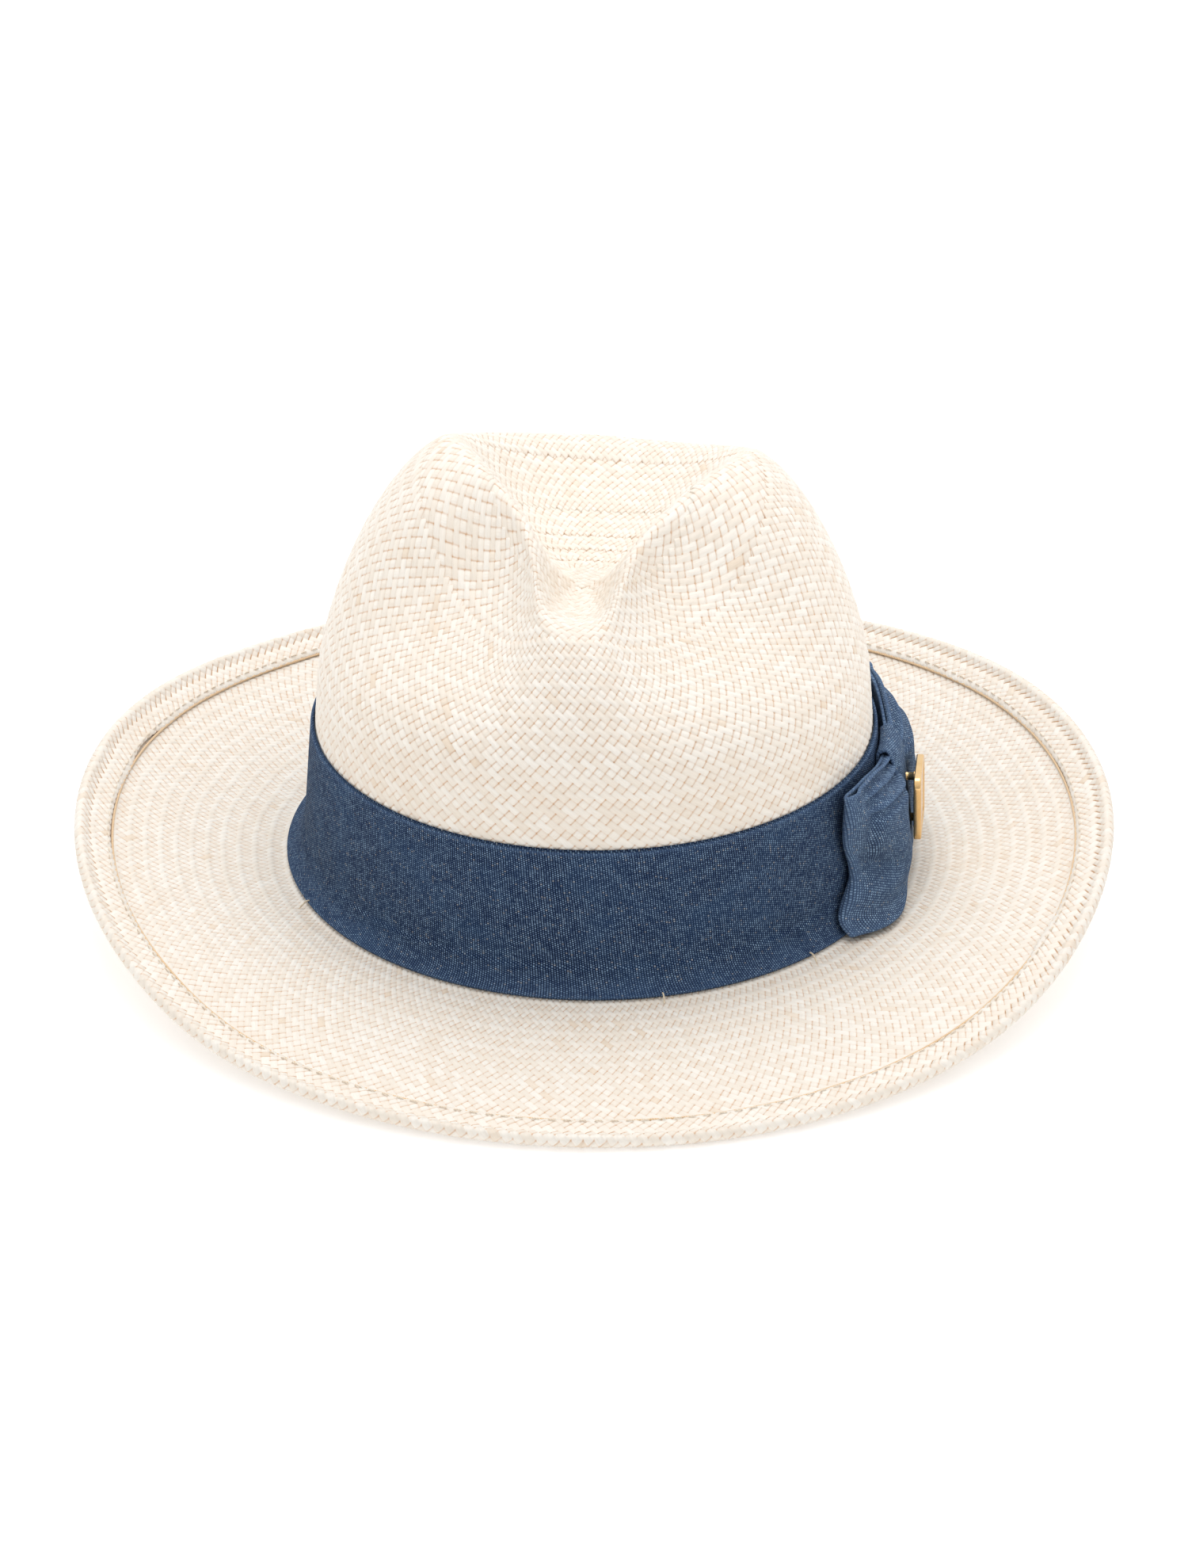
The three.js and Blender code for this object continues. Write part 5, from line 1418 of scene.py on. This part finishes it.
def rounded(w, h, r, k):
    """Outline of a rectangle with rounded corners of k steps."""
    points = []
    for sx, sy, start in ((1, 1, 0), (-1, 1, 90), (-1, -1, 180), (1, -1, 270)):
        for i in range(k + 1):
            a = math.radians(start + 90 * i / k)
            points.append([sx * (w / 2 - r) + r * math.cos(a), sy * (h / 2 - r) + r * math.sin(a)])
    return np.array(points)


def badge_plate():
    half = BADGE_T / 2
    back_r, front_r = 0.5, 0.55          # rounding of the two edges
    # inset from the outline, place out of the face: back, rounded edges, then the sunk front
    profile = [(2.6, -half + 0.25), (2.2, -half), (back_r, -half)]
    for a in np.radians((18, 36, 54, 72, 90)):
        profile.append((back_r * (1 - math.sin(a)), -half + back_r * (1 - math.cos(a))))
    for a in np.radians((0, 18, 36, 54, 72, 90)):
        profile.append((front_r * (1 - math.cos(a)), half - front_r * (1 - math.sin(a))))
    profile += [(1.35, half), (1.6, half - 0.06), (1.78, half - 0.25), (1.95, half - 0.34),
                (2.4, half - 0.35), (4.2, half - 0.22)]
    rings = []
    for inset, out in profile:
        outline = rounded(BADGE_W - 2 * inset, BADGE_H - 2 * inset, max(BADGE_R - inset, 0.5), 10)
        rings.append(badge_point(outline[:, 0], outline[:, 1], out))
    return stack("badge_plate_gold", rings)


def badge_circle(radius, up, out, count):
    a = np.arange(count) * 2 * np.pi / count
    return badge_point(radius * np.cos(a), up + radius * np.sin(a), out)


POST_FOOT = 6.15         # out from the hatband's face
# closed section of a washer: radius, place out from its front
WASHER = [(1.5, -0.48), (2.45, -0.5), (2.58, -0.38), (2.6, -0.12), (2.5, -0.02), (1.6, 0),
          (1.46, -0.1), (1.45, -0.38)]


def badge_post(name, up):
    start, end = POST_FOOT - BADGE_OUT, -BADGE_T / 2 - 0.08
    run = end - start
    # radius, place: rounded foot, groove at mid length, head
    profile = [(0.75, start), (1.05, start + 0.12), (POST_R, start + 0.35),
               (POST_R, start + run * 0.42), (1.12, start + run * 0.46),
               (1.12, start + run * 0.52), (POST_R, start + run * 0.56),
               (POST_R, end - 0.5), (1.45, end - 0.28), (1.45, end)]
    return stack("badge_post_" + name + "_pin",
                 [badge_circle(radius, up, out, 32) for radius, out in profile])


def badge_washer(name, up, front):
    section = np.stack([badge_circle(radius, up, front - BADGE_OUT + out, 36)
                        for radius, out in WASHER], 1)
    return torus("badge_washer_" + name + "_ring", section, np.linspace(0, 14, 37),
                 np.linspace(0, 4, 9))


finish(badge_plate(), GOLD, "badge_plate")
for place, up, front in (("upper", POST_PITCH / 2, POST_FOOT), ("lower", -POST_PITCH / 2, 6.6)):
    finish(badge_post(place, up), GOLD, "badge_post_" + place)
    finish(badge_washer(place, up, front), GOLD, "badge_washer_" + place)


# ---- tack stitches at the hatband's lower edge ------------------------------------
def tack(number, angle):
    out = outward(angle)
    foot_t = 0.7 / float(np.interp(angle, ANGLES, brim_run))
    column = int(round(angle / 360 * COLUMNS)) % COLUMNS
    foot = brim_at(np.full(COLUMNS, foot_t))[column]
    # turn over the break in degrees, height off the band's face
    points = [over_break(angle, math.radians(turn), BAND_OUT + height) for turn, height in
              ((68, 0.02), (70, 0.24), (73, 0.30), (BAND_TURN, 0.32), (BAND_TURN, 0.28))]
    points[-1] = points[-1] + out * 0.45 - [0, 0, 0.25]
    points = np.array(points + [foot + [0, 0, 0.2]])
    count, sides = 26, 10
    t = np.linspace(0, len(points) - 1, count)
    centre = np.stack([np.interp(t, np.arange(len(points)), points[:, i]) for i in range(3)], 1)
    relax(centre, 3)
    side = np.cross([0, 0, 1.0], out)
    up = unit(np.cross(unit(np.gradient(centre, axis=0)), side))
    radius = np.full(count, 0.22)
    radius[[0, -1]] = 0.12
    ob = stack("band_tack_%d_stitch" % number,
               list(rings_about(centre, side, up, radius, sides)))
    me = ob.data
    layer = me.uv_layers.new(name="cloth")
    vertex = np.zeros(len(me.loops), np.int32)
    me.loops.foreach_get("vertex_index", vertex)
    uv = np.stack([vertex // sides * 0.2, vertex % sides / sides], -1)
    layer.data.foreach_set("uv", uv.astype(np.float32).ravel())
    finish(ob, PALE, "band_tack_%d" % number)


for number, angle in enumerate(TACK_ANGLES, 1):
    tack(number, float(angle))

# ---- floor, light, camera (m) -----------------------------------------------------
new_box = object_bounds()
FLOOR_HALF, FLOOR_DROP = 6.0, 0.0004
# sky strength: everywhere, and added from above, from both sides and from behind
WORLD_BASE, WORLD_TOP, WORLD_SIDE, WORLD_BACK = 0.47, 0.53, 0.20, 0.37
CAMERA_DISTANCE, CAMERA_RISE = 1.4, 25.0         # m, degrees above level
CAMERA_TILT_UP = 0.694838                        # degrees above the line to the origin
CAMERA_LENS = 108.745831                         # mm


def build_floor():
    m = Mat("studio_floor")
    grain = m.noise(m.obj(), scale=40.0, detail=3.0, rough=0.6)
    color = m.mix(m.ramp(grain, over=(0.3, 0.7)), (0.86, 0.86, 0.86, 1), (0.88, 0.88, 0.88, 1))
    m.out(color, 0.85, m.bump(grain, strength=0.02, distance=0.001),
          Emission_Color=(1, 1, 1, 1), Emission_Strength=0.32)
    z = new_box[0].z - FLOOR_DROP
    me = bpy.data.meshes.new("floor")
    me.from_pydata([(x * FLOOR_HALF, y * FLOOR_HALF, z)
                    for x, y in ((-1, -1), (1, -1), (1, 1), (-1, 1))], [], [(0, 1, 2, 3)])
    floor = bpy.data.objects.new("floor", me)
    floor.data.materials.append(m.material)
    bpy.context.scene.collection.objects.link(floor)


def build_world():
    """Sky brighter from above, behind and both sides than from the front; white to the camera."""
    world = bpy.data.worlds.new("studio")
    bpy.context.scene.world = world
    world.use_nodes = True
    tree = world.node_tree
    background = tree.nodes["Background"]
    background.inputs[0].default_value = (1.0, 0.994, 0.990, 1)
    coords = tree.nodes.new("ShaderNodeTexCoord")
    split = tree.nodes.new("ShaderNodeSeparateXYZ")
    tree.links.new(coords.outputs["Generated"], split.inputs[0])
    x, y, z = split.outputs

    def share(operation, axis, strength):
        return math_node(tree, "MULTIPLY", math_node(tree, operation, axis, 0.0), strength)
    above = share("MAXIMUM", z, WORLD_TOP)
    sides = share("ABSOLUTE", x, WORLD_SIDE)
    behind = math_node(tree, "ADD", share("MAXIMUM", y, WORLD_BACK), WORLD_BASE)
    total = math_node(tree, "ADD", math_node(tree, "ADD", above, sides), behind)
    path = tree.nodes.new("ShaderNodeLightPath")
    mix = tree.nodes.new("ShaderNodeMix")
    mix.data_type = "FLOAT"
    tree.links.new(path.outputs["Is Camera Ray"], mix.inputs[0])
    tree.links.new(total, mix.inputs[2])
    mix.inputs[3].default_value = 1.0
    tree.links.new(mix.outputs[0], background.inputs[1])


def build_light():
    light = bpy.data.lights.new("overhead", "AREA")
    light.shape = "RECTANGLE"
    light.size = light.size_y = 1.0
    light.energy = 8.0
    light.color = (1.0, 0.99, 0.985)
    ob = bpy.data.objects.new("overhead", light)
    place, target = Vector((0.04, 0.50, 1.47)), Vector((0, 0, 0.05))
    ob.location = place
    ob.rotation_mode = "QUATERNION"
    ob.rotation_quaternion = (place - target).to_track_quat("Z", "Y")
    bpy.context.scene.collection.objects.link(ob)


def build_camera():
    scene = bpy.context.scene
    cam = bpy.data.cameras.new("camera")
    cam.sensor_width = 36.0
    cam.sensor_fit = "AUTO"
    cam.lens = CAMERA_LENS
    cam.clip_start, cam.clip_end = 0.05, 50
    ob = bpy.data.objects.new("camera", cam)
    scene.collection.objects.link(ob)
    rise = math.radians(CAMERA_RISE)
    ob.location = (Vector(SHIFT / 1000.0)
                   + Vector((0, -math.cos(rise), math.sin(rise))) * CAMERA_DISTANCE)
    ob.rotation_mode = "XYZ"
    ob.rotation_euler = (math.pi / 2 - rise + math.radians(CAMERA_TILT_UP), 0, 0)
    scene.camera = ob


build_floor()
build_world()
build_light()
view = bpy.context.scene.view_settings
view.view_transform = "Standard"
view.look = "None"
view.exposure = 0.0
view.gamma = 1.0
build_camera()
